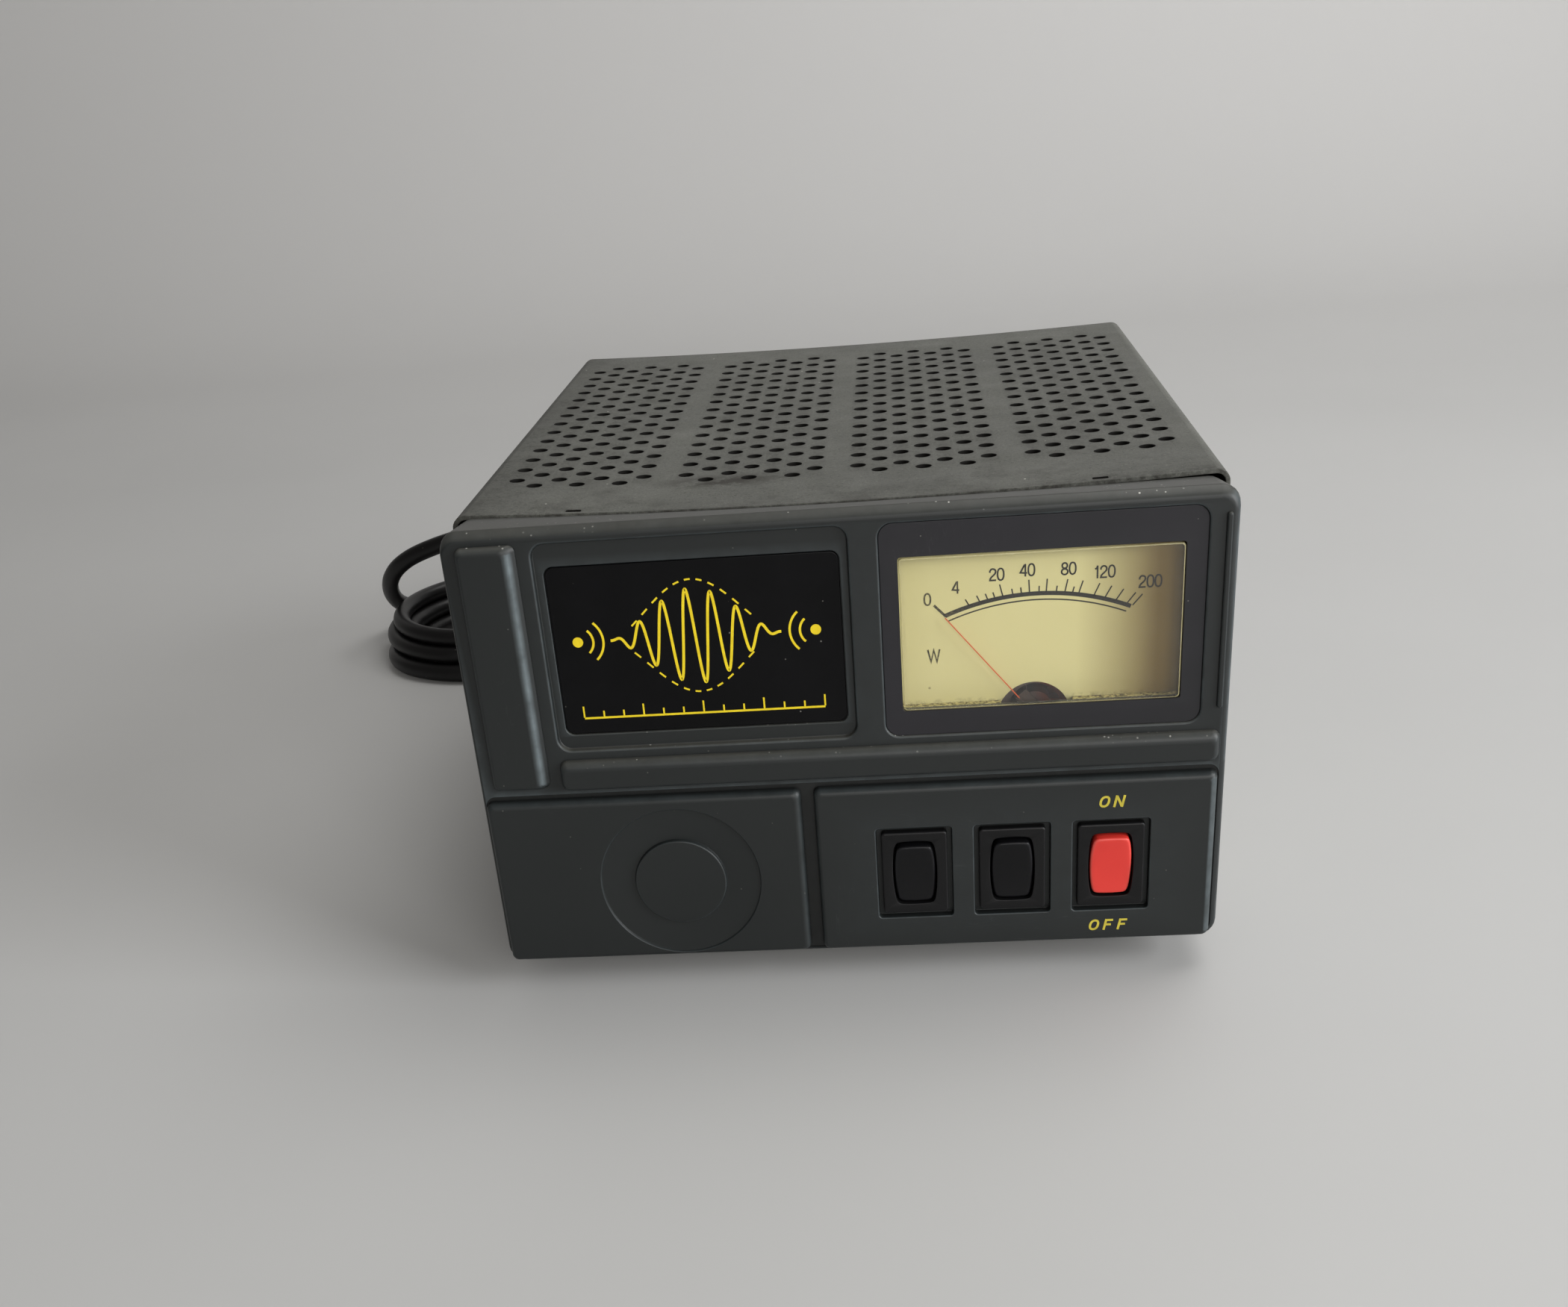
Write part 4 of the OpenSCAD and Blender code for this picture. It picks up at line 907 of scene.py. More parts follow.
def bezel():
    b = Build()
    W, H = 83.0, 104.0

    def split(pts):
        """The same outline with its long top run cut into short steps."""
        out = []
        for p, q in zip(pts, pts[1:] + pts[:1]):
            out.append(p)
            if p[1] > 90 and q[1] > 90 and abs(p[0] - q[0]) > 50:
                out += [(p[0] + (q[0] - p[0]) * k / 16, p[1] + (q[1] - p[1]) * k / 16) for k in range(1, 16)]
        return out

    def rear(pts, drop):
        """Lets the top run follow the cover's front edge, a little under it."""
        top = max(z for x, z in pts)
        out = []
        for x, z in pts:
            line = 101.2 + 2.0 * (x / 83.9) ** 2 - 0.3 - (0.25 * (x / 80) ** 2 if x < 0 else 0.9 * (x / 80) ** 2) - drop
            out.append((x, z + (line - top) * max(0.0, min(1.0, (z - top + 4) / 4))))
        return out

    back = b.loop(lp(rear(split(rr(-W + 0.25, W - 0.25, 0.25, H - 2.85, 3.75)), 0.3), 18.5), 0.1)
    rim = b.loop(lp(rear(split(rr(-W, W, 0, H - 2.55, 4)), 0.0), 18.25), 0.3)
    b.strip(back, rim)
    prev = b.loop(lp(split(rr(-W, W, 0, H, 4)), 3.15))
    b.strip(rim, prev)
    top_in = (0.12, 0.42, 0.75, 1.08, 1.4, 1.75, 2.3)
    wear_and_highlight = (0.15, 0.25, 0.3, 0.3, 0.2, 0.1, 0.0)
    for k, a in enumerate(arc_steps()):
        i = 1 - math.cos(a)
        y = 0.8 + 2.0 * (1 - math.sin(a))
        cur = b.loop(lp(split(rr(-W + 0.8 * i, W - 1.5 * i, 0.85 * i, H - top_in[k], 4 - 0.9 * i)), y), wear_and_highlight[k])
        # painted highlight along the bezel's right outer edge
        for q in cur:
            if b.v[q][0] > 81 and k in (1, 2, 3):
                b.w[q] = 1.2
        b.strip(prev, cur)
        prev = cur
    front = prev
    holes = []
    # raised pads
    pads = []
    f, t = raised(b, -79.5, -66.6, 45.3, 101, 1.5, 0.8, -1.2, 1.1, 2.6, 1.0, 1.6, 1.7,
                  slope=(0.0, 0.5, 0.97, 1.38, 1.78, 2.2, 2.8))
    holes.append(f)
    b.fill([t])
    # painted highlight down the left block's right-hand slope
    for q in range(len(b.v)):
        p = b.v[q]
        if -69.7 < p[0] < -66.7 and 46.4 < p[2] < 99.4 and p[1] < 0.0:
            b.w[q] = 2.9 * max(0.0, 1.0 - abs(p[0] + 68.0) / 1.1)
    f, t = raised(b, -63.8, 81.1, 44.6, 51.6, 1.7, 0.8, -1.2, 1.1, 1.5, 0.9, 2.3, 1.8)
    holes.append(f)
    b.fill([t])
    # shallow channel round the two lower pads
    c0 = b.loop(lp(rr(-82.15, 81.48, 1.0, 43.4, 2.2), 0.8), 0.9)
    c1 = b.loop(lp(rr(-82.1, 81.42, 1.05, 43.34, 2.15), 0.9), 0.5)
    c2 = b.loop(lp(rr(-82.1, 81.42, 1.05, 43.34, 2.15), 1.15))
    b.strip(c0, c1)
    b.strip(c1, c2)
    holes.append(c0)
    f, t = raised(b, -82, -10.3, 1.2, 42.3, 1.5, 1.15, -1.2, 1.1, 1.6, 0.9, 1.6, 1.8)
    feet = [f]
    ring = []
    # dished ring: outer step, slope, inner step, disc
    R = [(18.75, -1.2, 0.0), (18.62, -1.17, 0.3), (18.52, -1.06, 0.6), (18.46, -0.85, 0.2), (18.36, -0.72, 0), (18.1, -0.66, 0), (17.0, -0.6, 0), (14.4, -0.44, 0), (12.2, -0.3, 0),
         (11.0, -0.22, 0), (10.74, -0.24, 0), (10.64, -0.4, 0.1), (10.60, -0.62, 0.1), (10.55, -0.98, 0.2), (10.42, -1.13, 0.5), (10.2, -1.2, 0.0)]
    loops = [b.loop(lp(circle(RING[0], RING[1], r, 72), y), w) for r, y, w in R]
    for q, s in zip(loops, loops[1:]):
        b.strip(q, s)
    b.fill([loops[-1]])
    b.fill([t, loops[0]])
    f, t = raised(b, -7.5, 81.1, 1.2, 42.3, 1.5, 1.15, -1.2, 1.1, 1.6, 0.9, 1.6, 1.8)
    # painted highlight along the right edge of the lower right pad
    for q in range(f[0], len(b.v)):
        p = b.v[q]
        if 79.6 < p[0] < 81.05 and 2.5 < p[2] < 41 and p[1] < 0.2:
            b.w[q] = 1.5
    feet.append(f)
    b.fill([c2] + feet)
    rims, through = [], []
    for x in SW_X:
        r0, fl = sunk(b, x - 8.55, x + 8.55, SW_Z - 11.4, SW_Z + 11.4, 0.8, -1.2, 0.8, lip=0.3, draft=0.05, foot=0.1)
        rims.append(r0)
        o = b.loop(lp(rr(x - 6.6, x + 6.6, SW_Z - 9.6, SW_Z + 9.6, 0.6), 0.8))
        b.fill([fl, o])
        o2 = b.loop(lp(rr(x - 6.6, x + 6.6, SW_Z - 9.6, SW_Z + 9.6, 0.6), 4.0))
        b.strip(o, o2)
        through.append(o2)
    b.fill([t] + rims)
    f, t = raised(b, 80.1, 81.3, 56.6, 98.9, 0.55, 0.8, 0.0, 0.4, 0.4, 0.5, 0.5, 0.5)
    holes.append(f)
    b.fill([t])
    # left window recess with its pocket
    r0, fl = sunk(b, -63.5, 3.1, 53.7, 100.7, 3.0, 0.8, 2.0, lip=0.5)
    holes.append(r0)
    p0 = b.loop(lp(rr(-61.75, 1.45, 56.85, 95.55, 2.15), 2.0), 0.4)
    b.fill([fl, p0], mat=1)
    p1 = b.loop(lp(rr(-61.6, 1.3, 57.0, 95.4, 2.0), 2.12), 0.8)
    p2 = b.loop(lp(rr(-61.6, 1.3, 57.0, 95.4, 2.0), 3.0))
    b.strip(p0, p1, 1)
    b.strip(p1, p2, 1)
    b.fill([p2], mat=1)
    # meter recess with its opening
    r0, fl = sunk(b, 9.4, 76.8, 53.4, 100.6, 3.0, 0.8, 2.0, lip=0.5)
    holes.append(r0)
    m0 = b.loop(lp(rr(13.0, 72.7, 58.8, 93.5, 1), 2.0))
    b.fill([fl, m0], mat=1)
    m1 = b.loop(lp(rr(13.0, 72.7, 58.8, 93.5, 1), 4.0))
    b.strip(m0, m1, 1)
    through.append(m1)
    b.fill([front] + holes)
    # hollow back
    q0 = b.loop(lp(rr(-W + 2.5, W - 2.5, 2.5, H - 4.8, 2), 18.5))
    b.fill([back, q0])
    q1 = b.loop(lp(rr(-W + 2.5, W - 2.5, 2.5, H - 4.8, 2), 4.0))
    b.strip(q0, q1)
    b.fill([q1] + through)
    # four screw posts
    for x in (-77, 77):
        for z in (6.2, 97.8):
            a0 = b.loop(lp(circle(x, z, 2.4, 32), 3.6))
            a1 = b.loop(lp(circle(x, z, 2.4, 32), 18.5))
            a2 = b.loop(lp(circle(x, z, 1.25, 32), 18.5))
            a3 = b.loop(lp(circle(x, z, 1.25, 32), 8.5))
            b.strip(a0, a1)
            b.strip(a1, a2)
            b.strip(a2, a3)
            b.fill([a0])
            b.fill([a3])
    return b.obj("bezel_shell", [bezel_mat, bezel_mat], replaces=("front_bezel",))


bezel()


# ------------------------------------------------- dark panel with design ---
def window():
    b = Build()
    x0, x1, z0, z1 = -61.4, 1.1, 57.2, 95.2
    back = b.loop(lp(rr(x0, x1, z0, z1, 1.9), 3.0))
    side = b.loop(lp(rr(x0, x1, z0, z1, 1.9), 2.55), 0.4)
    b.strip(back, side)
    prev = side
    for k, a in enumerate(arc_steps(4)[1:]):
        i = 1 - math.cos(a)
        cur = b.loop(lp(rr(x0 + 0.25 * i, x1 - 0.25 * i, z0 + 0.25 * i, z1 - 0.25 * i, 1.9 - 0.2 * i), 2.3 + 0.25 * (1 - math.sin(a))), 0.6)
        b.strip(prev, cur)
        prev = cur
    b.fill([prev])
    b.fill([back])
    b.obj("window_sheet", [glass_mat], replaces=("window_panel",))
    # a carrier wave under an envelope between two sets of arcs
    d = Build()
    y0, y1 = 2.26, 2.31
    path = []
    n = 420
    for i in range(n + 1):
        t = i / n
        x = -49.0 + 37.0 * t
        env = math.sin(math.pi * t) ** 1.6
        path.append((x, 78.4 + 10.6 * env * math.sin(2 * math.pi * 7.0 * t)))
    ribbon(d, path, 0.6, y0, y1)
    for s in (1, -1):
        env = [(-49.0 + 37.0 * i / 60, 78.4 + s * 12.6 * math.sin(math.pi * i / 60) ** 1.6) for i in range(8, 53)]
        k = 0
        while k < len(env) - 3:
            ribbon(d, env[k:k + 3], 0.38, y0, y1)
            k += 4
    for c, sgn in ((-56.2, 1), (-4.6, -1)):
        extruded(d, circle(c, 78.4, 1.15, 28), y0, y1)
        for r in (3.4, 5.6):
            arc = [(c + sgn * r * math.cos(math.radians(a)), 78.4 + r * math.sin(math.radians(a))) for a in range(-48, 49, 6)]
            if sgn < 0:
                arc = arc[::-1]
            ribbon(d, arc, 0.5, y0, y1)
    ribbon(d, [(-57.0, 60.8), (-3.6, 60.8)], 0.46, y0, y1)
    for i in range(13):
        x = -57.0 + 53.4 * i / 12
        ribbon(d, [(x, 61.0), (x, 62.4 if i % 3 else 63.6)], 0.36, y0, y1)
    d.obj("window_print", [yellow_mat], weighted=False)


window()


# ----------------------------------------------------------------- meter ----
def oval(cx, cz, rx, rz, e=2.3, n=32):
    """A slightly squared ring of points."""
    out = []
    for i in range(n):
        a = 2 * math.pi * i / n
        c, t = math.cos(a), math.sin(a)
        out.append((cx + rx * math.copysign(abs(c) ** (2 / e), c), cz + rz * math.copysign(abs(t) ** (2 / e), t)))
    return out


STROKES = {
    "0": (0.60, [(oval(0.28, 0.5, 0.235, 0.455), True)]),
    "1": (0.52, [([(0.33, 0.0), (0.33, 1.0)], False), ([(0.13, 0.74), (0.22, 0.765), (0.285, 0.83), (0.31, 0.93)], False)]),
    "2": (0.60, [([(0.055, 0.66), (0.07, 0.79), (0.14, 0.90), (0.26, 0.95), (0.39, 0.92), (0.485, 0.83), (0.50, 0.70),
                   (0.45, 0.57), (0.33, 0.44), (0.19, 0.32), (0.095, 0.20), (0.06, 0.055), (0.53, 0.055)], False)]),
    "4": (0.62, [([(0.44, 0.0), (0.44, 0.98)], False), ([(0.385, 0.93), (0.055, 0.31), (0.385, 0.275)], False), ([(0.495, 0.275), (0.575, 0.275)], False)]),
    "8": (0.60, [(oval(0.28, 0.745, 0.19, 0.205, 2.1), True), (oval(0.28, 0.265, 0.232, 0.22, 2.1), True)]),
    "W": (0.98, [([(0.04, 1.0), (0.26, 0.03), (0.48, 0.95), (0.70, 0.03), (0.92, 1.0)], False)]),
}
BOLD = {
    "O": [(oval(0.40, 0.5, 0.315, 0.405, 2.3), True)],
    "N": [([(0.10, 0.0), (0.10, 1.0)], False), ([(0.12, 0.95), (0.68, 0.05)], False), ([(0.70, 0.0), (0.70, 1.0)], False)],
    "F": [([(0.14, 0.0), (0.14, 1.0)], False), ([(0.14, 0.905), (0.70, 0.905)], False), ([(0.14, 0.50), (0.62, 0.50)], False)],
}


def figures(name, text, h, x, z, y0, y1):
    """Printed numerals in plain even strokes, centred at (x, z)."""
    wide = sum(STROKES[c][0] for c in text) * h
    at = x - wide / 2
    d = Build()
    for c in text:
        adv, strokes = STROKES[c]
        for k, (pts, closed) in enumerate(strokes):
            ribbon(d, [(at + px * h, z - h / 2 + pz * h) for px, pz in pts], 0.128 * h, y0 - 0.003 * k, y1 - 0.003 * k, closed=closed)
        at += adv * h
    d.obj(name, [ink_mat], weighted=False)


def word(name, text, h, x, z, y):
    """A printed word in bold leaning strokes, centred at (x, z)."""
    d = Build()
    for i, c in enumerate(text):
        at = x + (i - (len(text) - 1) / 2) * 1.14 * h
        for k, (pts, closed) in enumerate(BOLD[c]):
            path = [(at + (px - 0.4 + 0.22 * (pz - 0.5)) * h, z + (pz - 0.5) * h) for px, pz in pts]
            ribbon(d, path, 0.185 * h, y - 0.003 * k, y + 0.04 - 0.003 * k, closed=closed)
    d.obj(name, [label_mat], weighted=False)


def meter():
    # surround plate
    b = Build()
    x0, x1, z0, z1 = 9.47, 76.73, 53.47, 100.53
    back = b.loop(lp(rr(x0, x1, z0, z1, 2.95), 2.0))
    prev = b.loop(lp(rr(x0, x1, z0, z1, 2.95), 1.35), 0.2)
    b.strip(back, prev)
    for k, a in enumerate(arc_steps(4)[1:]):
        i = 1 - math.cos(a)
        cur = b.loop(lp(rr(x0 + 0.15 * i, x1 - 0.15 * i, z0 + 0.15 * i, z1 - 0.15 * i, 2.95 - 0.15 * i), 1.2 + 0.15 * (1 - math.sin(a))), (0.5, 0.6, 0.4, 0.1)[k])
        b.strip(prev, cur)
        prev = cur
    i0 = b.loop(lp(rr(13.2, 72.5, 59.0, 93.3, 0.7), 1.2), 0.3)
    i1 = b.loop(lp(rr(13.3, 72.4, 59.1, 93.2, 0.6), 1.32), 0.8)
    i2 = b.loop(lp(rr(13.3, 72.4, 59.1, 93.2, 0.6), 2.0))
    b.fill([prev, i0])
    b.strip(i0, i1)
    b.strip(i1, i2)
    b.fill([back, i2])
    b.obj("meter_surround", [recess_mat], replaces=("meter_faceplate",))
    # clear window: a plate with a deep right-hand wall and a short left-hand one
    b = Build()
    o = lambda e: rr(13.5 + e, 72.2 - e, 59.3 + e, 93.0 - e, 0.8)
    back = b.loop(lp(o(0), 2.1))
    prev = back
    for e, y, w in ((0.0, 1.3, 0.3), (0.06, 1.0, 1.0), (0.2, 0.9, 0.9), (0.3, 0.9, 0.0)):
        cur = b.loop(lp(o(e), y), w)
        b.strip(prev, cur)
        prev = cur
    b.fill([prev])
    b.fill([back])
    for x0, x1, y1 in ((13.5, 14.5, 3.2), (71.2, 72.2, 6.1)):
        w0, w1 = b.loop(lp(rr(x0, x1, 59.9, 92.4, 0.3, 3), 2.1)), b.loop(lp(rr(x0, x1, 59.9, 92.4, 0.3, 3), y1))
        b.strip(w0, w1)
        b.fill([w1])
    b.obj("meter_window", [clear_mat], replaces=("meter_lens",))
    # dial card with its half-round cut-out
    b = Build()
    card = rr(12.2, 73.5, 53.6, 94.4, 1)
    cut = circle(41.8, 54.5, 8.0, 60)
    f0, f1 = b.loop(lp(card, 6.2)), b.loop(lp(card, 7.0))
    c0, c1 = b.loop(lp(cut, 6.2), 0.5), b.loop(lp(cut, 7.0))
    b.strip(f0, f1)
    b.strip(c0, c1)
    b.fill([f0, c0])
    b.fill([f1, c1])
    b.obj("dial_card", [dial_mat], replaces=("meter_dial",))
    # scale: two arcs struck from one centre, ticks that point to the shaft
    CX, CZ, PX, PZ = 42.5, 31.2, 42.3, 55.0
    y0, y1 = 6.15, 6.21
    d = Build()
    arc = lambda r, a0, a1: [(CX + r * math.cos(math.radians(a)), CZ + r * math.sin(math.radians(a)))
                             for a in [a0 + (a1 - a0) * i / 60 for i in range(61)]]
    ribbon(d, arc(51.1, 112.4, 67.4), 0.92, y0, y1)
    ribbon(d, arc(49.75, 112.2, 67.9), 0.29, y0, y1)
    ticks = [(28.1, 1.5), (30.4, 1.5), (32.1, 1.4), (33.6, 1.3), (35.3, 2.7), (37.4, 1.3), (39.2, 1.3), (40.9, 2.8),
             (42.9, 1.3), (44.4, 2.8), (46.5, 1.3), (48.3, 2.8), (49.9, 1.3), (51.2, 2.8), (54.4, 2.8), (56.7, 2.8),
             (59.0, 2.8), (61.3, 2.9), (62.5, 3.1)]
    for x, l in ticks:
        z = CZ + math.sqrt(51.4 ** 2 - (x - CX) ** 2)
        u = Vector((x - PX, z - PZ)).normalized()
        ribbon(d, [(x, z), (x + u[0] * l, z + u[1] * l)], 0.27, y0, y1)
    ribbon(d, [(23.2, 78.3), (20.7, 80.9)], 0.52, y0, y1)
    d.obj("dial_scale", [ink_mat], weighted=False)
    for t, x, z, h in (("0", 19.4, 82.3, 2.75), ("4", 25.4, 84.6, 2.75), ("20", 34.1, 86.9, 2.75), ("40", 40.5, 87.5, 2.75),
                       ("80", 49.1, 87.3, 2.75), ("120", 56.5, 86.2, 2.75), ("200", 66.1, 83.6, 2.75), ("W", 20.4, 69.6, 2.9)):
        figures(f"dial_mark_{t}", t, h, x, z, y0, y1)


meter()
dress("meter_case", case_mat)
dress("meter_movement", movement_mat)
dress("meter_needle", orange_mat)
dress("meter_lamps", lamp_mat)


# -------------------------------------------------------------- switches ----
def switch(x, name, node):
    b = Build()
    z = SW_Z
    out0 = b.loop(lp(rr(x - 7.4, x + 7.4, z - 10.25, z + 10.25, 0.9), 0.78))
    prev = b.loop(lp(rr(x - 7.4, x + 7.4, z - 10.25, z + 10.25, 0.9), -0.75), 0.1)
    b.strip(out0, prev)
    for k, a in enumerate(arc_steps(4)[1:]):
        i = 1 - math.cos(a)
        e = 0.45 * i
        cur = b.loop(lp(rr(x - 7.4 + e, x + 7.4 - e, z - 10.25 + e, z + 10.25 - e, 0.9 - e * 0.7), -1.2 + 0.45 * (1 - math.sin(a))), (0.5, 0.9, 0.6, 0.1)[k])
        b.strip(prev, cur)
        prev = cur
    bar = lambda s, y, w=0.0: b.loop([(x + px, y, z + pz) for px, pz in barrel(5.0 + s, 4.3 + s, 7.75 + s)], w)
    h0, h1, h2, h3 = bar(0.22, -1.2, 0.2), bar(0.06, -1.12, 0.7), bar(0.0, -0.95, 0.2), bar(0.0, 10.5)
    b.fill([prev, h0])
    b.strip(h0, h1)
    b.strip(h1, h2)
    b.strip(h2, h3)
    b.fill([h3])
    s0 = b.loop(lp(rr(x - 6.5, x + 6.5, z - 9.5, z + 9.5, 0.5), 0.78))
    s1 = b.loop(lp(rr(x - 6.5, x + 6.5, z - 9.5, z + 9.5, 0.5), 12.8))
    s2 = b.loop(lp(rr(x - 6.3, x + 6.3, z - 9.3, z + 9.3, 0.4), 13.0))
    b.fill([out0, s0])
    b.strip(s0, s1)
    b.strip(s1, s2)
    b.fill([s2])
    b.obj(f"{name}_switch_frame", [black_mat], replaces=(node,))


def rocker(x, name, mat):
    """Barrel-shaped rocker with a hollowed face, tipped with its upper end out."""
    b = Build()
    tilt = math.radians(7)
    c, s = math.cos(tilt), math.sin(tilt)

    def at(px, y, pz):
        return (x + px, 0.6 + y * c - pz * s, SW_Z + y * s + pz * c)

    def ring(scale_w, dy, w=0.0, face=None):
        pts = barrel(4.62 + scale_w, 3.92 + scale_w, 7.25 + scale_w)
        if face is not None:
            pts = [(px * face, pz * face) for px, pz in pts]
        out = []
        for px, pz in pts:
            hollow = 0.55 * (1 - (pz / 7.4) ** 2)
            out.append(at(px, -2.1 + hollow + dy, pz))
        return b.loop(out, w)

    low = b.loop([at(px * 0.985, 1.5, pz * 0.985) for px, pz in barrel(4.62, 3.92, 7.25)])
    side = ring(0.0, 0.55)
    b.strip(low, side)
    prev = side
    for k, a in enumerate(arc_steps(5)[1:]):
        i = 1 - math.cos(a)
        cur = ring(-0.55 * i, 0.55 * (1 - math.sin(a)), (0.3, 0.8, 1.0, 0.6, 0.1)[k])
        b.strip(prev, cur)
        prev = cur
    for f in (0.86, 0.7, 0.5, 0.3, 0.12):
        cur = ring(-0.55, 0.0, 0.0, f)
        b.strip(prev, cur)
        prev = cur
    mid = b.add(at(0, -2.1 + 0.55, 0))
    for j in range(len(prev)):
        b.face((prev[j], prev[(j + 1) % len(prev)], mid))
    # stem inside the switch
    st0 = b.loop([at(px, 1.5, pz) for px, pz in rr(-3, 3, -4, 4, 0.4, 3)])
    b.fill([low, st0])
    st1 = b.loop([at(px, 5.1, pz) for px, pz in rr(-2.9, 2.9, -3.9, 3.9, 0.4, 3)])
    b.strip(st0, st1)
    b.fill([st1])
    b.obj(f"{name}_rocker_cap", [mat], body=f"{name}_rocker", replaces=(f"{name}_rocker",), smooth=35, weighted=False)


for x, n in zip(SW_X, ("left", "middle", "power")):
    switch(x, n, f"{n}_switch_body")
rocker(SW_X[0], "left", black_rocker_mat)
rocker(SW_X[1], "middle", black_rocker_mat)
rocker(SW_X[2], "power", red_mat)
word("mark_on", "ON", 2.8, 58.35, 36.4, -1.25)
word("mark_off", "OFF", 2.8, 58.15, 5.3, -1.25)
dress("switch_terminals", nickel_mat)


# ----------------------------------------------------------------- cover ----
def cover():
    b = Build()
    CH, R, TOP, T = 83.9, 3.0, 103.2, 1.0
    Y0, Y1 = 18.7, 202.0

    def sag(x, y):
        u = (y - Y0) / (Y1 - Y0)
        return (2.0 - 0.6 * u) * (1 - (x / CH) ** 2)

    def surf(u, y, d):
        """u: ('top', x) | ('bend', side, angle) | ('side', side, z); d: depth under the painted face."""
        if u[0] == "top":
            return (u[1], y, TOP - d - sag(u[1], y))
        if u[0] == "bend":
            s, a = u[1], math.radians(u[2])
            return (s * (CH - R + (R - d) * math.cos(a)), y, TOP - R + (R - d) * math.sin(a) - sag(CH - R, y) * math.sin(a))
        return (u[1] * (CH - d), y, u[2])

    cols = [("side", -1, 1.0), ("side", -1, 13.0), ("side", -1, 50.0)]
    cols += [("bend", -1, a) for a in (0, 12, 24, 36, 48, 60, 72, 84)]
    xs = [-80.9] + [-77.5 + 5 * k for k in range(32) if abs(abs(-77.5 + 5 * k) - 57.5) > 0.1] + [80.9]
    cols += [("top", x) for x in xs]
    cols += [("bend", 1, a) for a in (84, 72, 60, 48, 36, 24, 12, 0)] + [("side", 1, 50.0), ("side", 1, 13.0), ("side", 1, 1.0)]
    ys = [Y0 + 0.14, Y0 + 0.85] + [24 + 8.8 * k for k in range(21)] + [Y1 - 0.14]
    grid = {}
    for i, u in enumerate(cols):
        for j, y in enumerate(ys):
            e = 0.55 if j == 0 else (0.35 if j == len(ys) - 1 else 0.0)
            at_x = u[1] if u[0] == "top" else (u[1] * 80.9 if u[0] == "bend" else 0.0)
            if j == 1:
                e = 0.75 * max(0.0, min(1.0, (at_x - 5) / 55))
            if u[0] == "bend":
                e = max(e, 0.16)
            if u[0] == "side" and u[2] == 1.0:
                e = 0.5
            for l, d in ((0, 0.0), (1, T)):
                grid[i, j, l] = b.add(surf(u, y, d), e if l == 0 else 0.0)
        for j, y in ((0, Y0), (1, Y1)):
            for l, d in ((2, 0.14), (3, T - 0.14)):
                grid[i, j, l] = b.add(surf(u, y, d), 1.0 if j == 0 else 0.6)
    # vent places, the same as the sheet's
    vents = {}
    for g in range(4):
        for c in range(7):
            k = g * 8 + c
            odd = c % 2 == 1
            x = (k - 15) * 5.0
            for i in range(15 if odd else 14):
                vents.setdefault(x, []).append((x, 43.8 + 10 * (i + (0 if odd else 0.5)), 1.75))

    def col_x(u):
        return u[1]

    nj = len(ys)
    for i in range(len(cols) - 1):
        a, c = cols[i], cols[i + 1]
        holes = []
        if a[0] == "top" and c[0] == "top":
            holes = [("round", v) for x, vs in vents.items() if a[1] < x < c[1] for v in vs]
            for sx in (-57.0, 57.0):
                if a[1] < sx < c[1]:
                    holes.append(("slot", (sx, 20.8)))
        if a[0] == "side" and c[0] == "side" and min(a[2], c[2]) == 1.0:
            holes = [("screw", (a[1], y, 7.0, 1.8)) for y in (48, 172)]
        if not holes:
            for j in range(nj - 1):
                for l in (0, 1):
                    b.face((grid[i, j, l], grid[i + 1, j, l], grid[i + 1, j + 1, l], grid[i, j + 1, l]), l)
        else:
            rings0, rings1 = [], []
            for kind, h in holes:
                if kind == "round":
                    n = 22
                    mk = lambda r, d, w: b.loop([surf(("top", h[0] + r * math.cos(2 * math.pi * q / n)), h[1] + r * math.sin(2 * math.pi * q / n), d) for q in range(n)], w)
                    o, p, q_ = mk(h[2] + 0.13, 0.0, 0.55), mk(h[2], 0.13, 0.7), mk(h[2], T, 0.0)
                elif kind == "slot":
                    pts = [(h[0] + x, h[1] + y) for x, y in rr(-1.7, 1.7, -0.8, 0.8, 0.3, 2)]
                    o = b.loop([surf(("top", x), y, 0.0) for x, y in pts], 0.8)
                    p = b.loop([surf(("top", x), y, 0.2) for x, y in pts], 1.0)
                    q_ = b.loop([surf(("top", x), y, T) for x, y in pts])
                else:
                    n = 24
                    mk = lambda d, w: b.loop([surf(("side", h[0], h[2] + h[3] * math.sin(2 * math.pi * q / n)), h[1] + h[3] * math.cos(2 * math.pi * q / n), d) for q in range(n)], w)
                    o, p, q_ = mk(0.0, 0.6), mk(0.15, 0.6), mk(T, 0.0)
                # vent hole walls take the near-black painted-shade material
                b.strip(o, p, 0 if kind == "screw" else 1)
                b.strip(p, q_, 1)
                rings0.append(o)
                rings1.append(q_)
            axes = (0, 1) if a[0] == "top" else (2, 1)
            for l, rings in ((0, rings0), (1, rings1)):
                edge = [grid[i, j, l] for j in range(nj)] + [grid[i + 1, j, l] for j in range(nj - 1, -1, -1)]
                b.fill([edge] + rings, axes, l)
        # front and back rims, lightly rounded
        for j, jj in ((0, 0), (nj - 1, 1)):
            seq = [(j, 0), (jj, 2), (jj, 3), (j, 1)]
            for s, t in zip(seq, seq[1:]):
                b.face((grid[i, s[0], s[1]], grid[i + 1, s[0], s[1]], grid[i + 1, t[0], t[1]], grid[i, t[0], t[1]]))
    # lower rims
    for i in (0, len(cols) - 1):
        edge0 = [grid[i, 0, 2]] + [grid[i, j, 0] for j in range(nj)] + [grid[i, 1, 2]]
        edge1 = [grid[i, 0, 3]] + [grid[i, j, 1] for j in range(nj)] + [grid[i, 1, 3]]
        b.strip(edge0, edge1, closed=False)
    return b.obj("cover_sheet", [cover_mat, cover_shade_mat], replaces=("top_cover",), smooth=34)


cover()

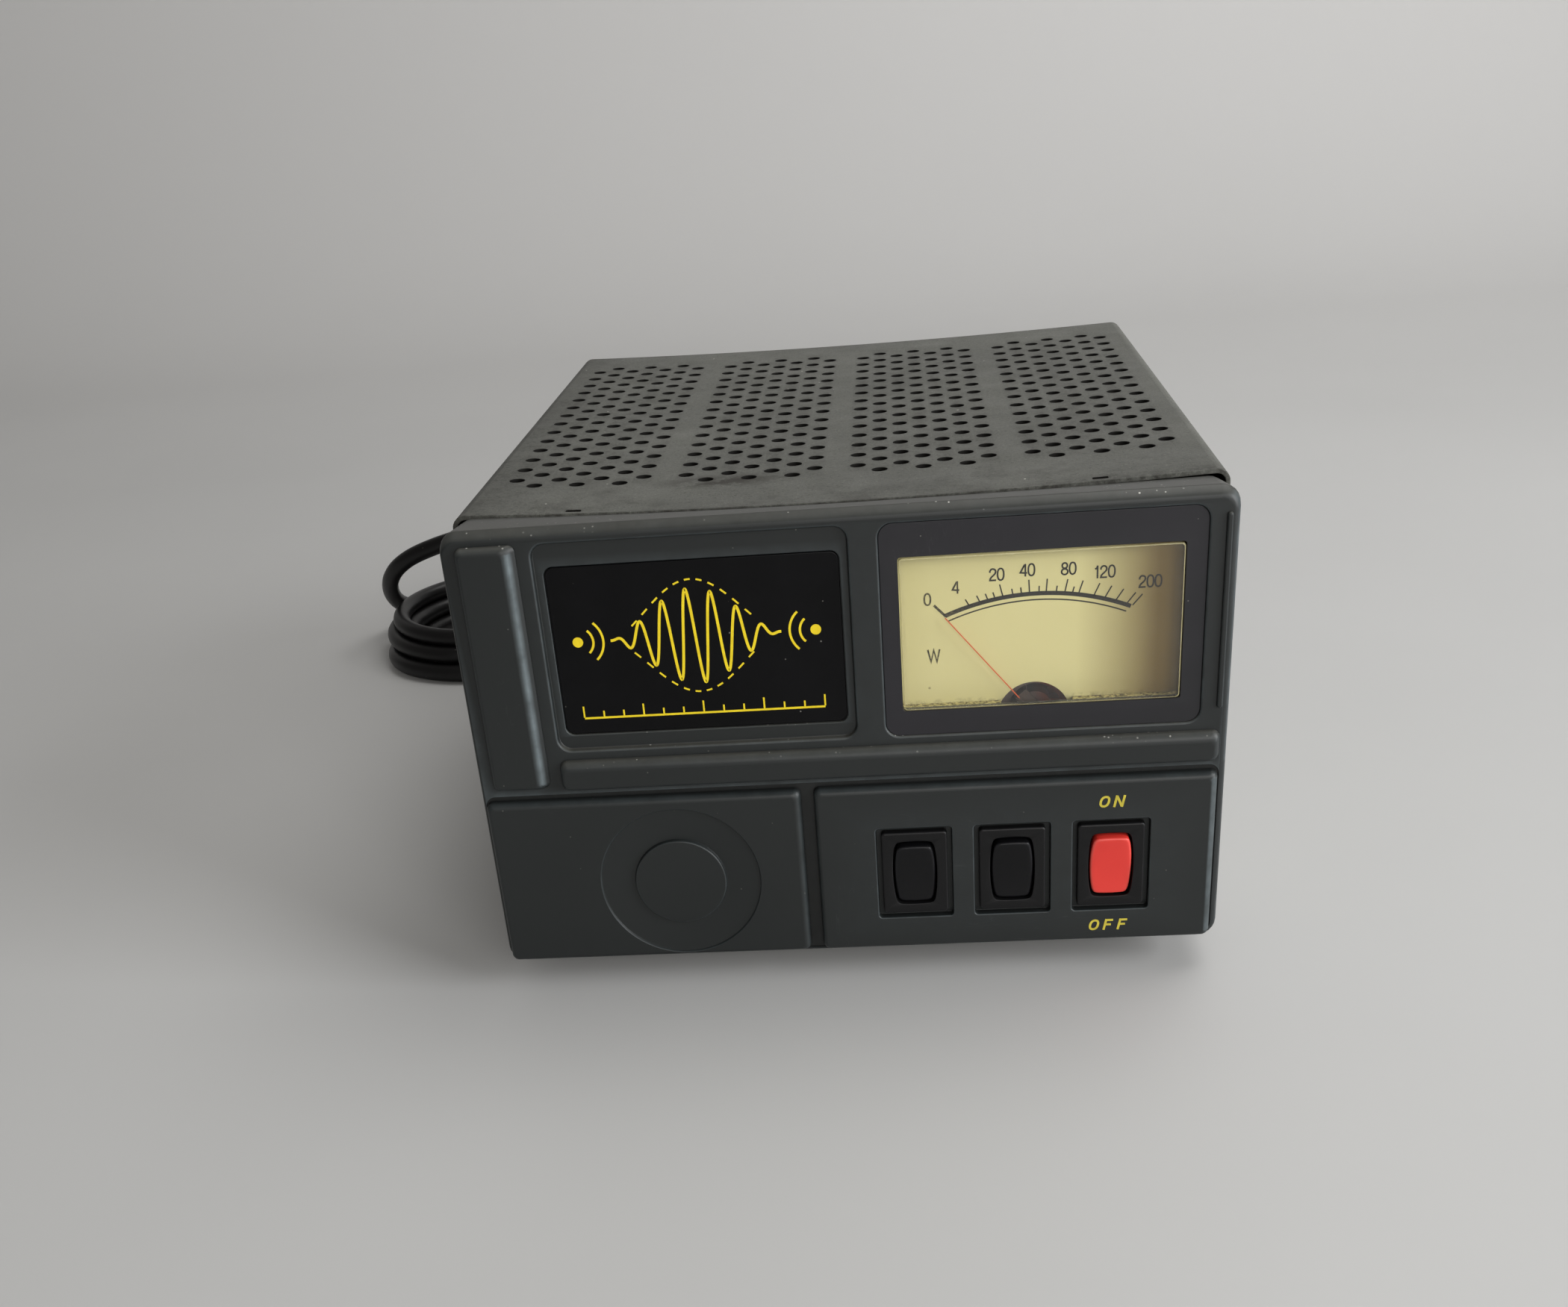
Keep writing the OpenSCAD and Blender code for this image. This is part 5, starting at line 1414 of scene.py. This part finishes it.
# ------------------------------------------------------- carried CAD nodes --
dress("chassis", chassis_mat)
for n in ("cover_screws", "bezel_screws", "foot_screws", "transformer_screws", "board_screws", "socket_screws"):
    dress(n, screw_mat)
dress("feet", rubber_mat)
dress("transformer_core", lam_mat)
dress("transformer_winding", bobbin_mat)
dress("transformer_strap", steel_mat)
dress("rf_board", board_mat)
dress("supply_board", board_mat)
dress("board_standoffs", brass_mat)
dress("valve_sockets", ceramic_mat)
dress("power_valves", valve_mat)
dress("output_coil", copper_mat)
dress("coil_former", ceramic_mat)
dress("antenna_relay", resin_mat)
dress("filter_capacitors", sleeve_mat)
dress("rectifier_diodes", resin_mat)
dress("input_socket", nickel_mat)
dress("output_socket", nickel_mat)
dress("socket_insulators", ceramic_mat)
dress("socket_contacts", brass_mat)
dress("fuse_holder", resin_mat)
dress("fuse_cap", resin_mat)
dress("fuse", lamp_mat)
dress("wiring_loom", rubber_mat)


# ---------------------------------------------------------------- studio ----
def studio():
    n = Nodes("floor_finish")
    col = n.mix(n.ramp(n.noise(3, 4, 0.5), 0.3, 0.7), (0.565, 0.565, 0.56), (0.60, 0.60, 0.595))
    place = n.node("ShaderNodeSeparateXYZ")
    n.link(n.co, place.inputs[0])
    col = n.mix(n.ramp(place.outputs["Y"], 0.45, 1.25), col, (0.69, 0.685, 0.68))
    n.principled(col, 0.55, spec=0.3)
    me = bpy.data.meshes.new("studio_floor")
    prof = [(-2.5, 0.0), (0.75, 0.0)]
    for i in range(1, 13):
        a = math.radians(90 * i / 12)
        prof.append((0.75 + 0.5 * math.sin(a), 0.5 * (1 - math.cos(a))))
    prof.append((1.25, 3.0))
    vs, fs = [], []
    for y, z in prof:
        vs += [(-4.0, y, z), (4.0, y, z)]
    for i in range(len(prof) - 1):
        fs.append((2 * i, 2 * i + 1, 2 * i + 3, 2 * i + 2))
    me.from_pydata(vs, [], fs)
    me.materials.append(n.m)
    me.shade_smooth()
    ob = bpy.data.objects.new("studio_floor", me)
    scene.collection.objects.link(ob)
    w = bpy.data.worlds.new("studio")
    scene.world = w
    w.use_nodes = True
    bg = w.node_tree.nodes["Background"]
    bg.inputs[0].default_value = (1.0, 0.97, 0.92, 1)
    bg.inputs[1].default_value = 0.14

    def area(name, loc, aim, size, power, colour=(1, 1, 1)):
        d = bpy.data.lights.new(name, "AREA")
        d.shape = "RECTANGLE"
        d.size, d.size_y = size
        d.energy = power
        d.color = colour
        o = bpy.data.objects.new(name, d)
        scene.collection.objects.link(o)
        o.location = loc
        o.rotation_mode = "QUATERNION"
        o.rotation_quaternion = (Vector(aim) - Vector(loc)).to_track_quat("-Z", "Y")

    area("key_right", (1.15, -0.58, 0.46), (0, 0, 0.05), (0.75, 0.75), 16, (0.98, 0.99, 1.0))
    area("top_soft", (0.55, 0.35, 1.5), (0, 0, 0), (1.0, 1.0), 9, (1.0, 0.99, 0.97))
    area("front_fill", (0.45, -1.75, 0.62), (0, 0, 0.05), (1.2, 0.8), 13.5, (1.0, 0.98, 0.95))


studio()
scene.view_settings.view_transform = "Standard"
scene.view_settings.look = "None"
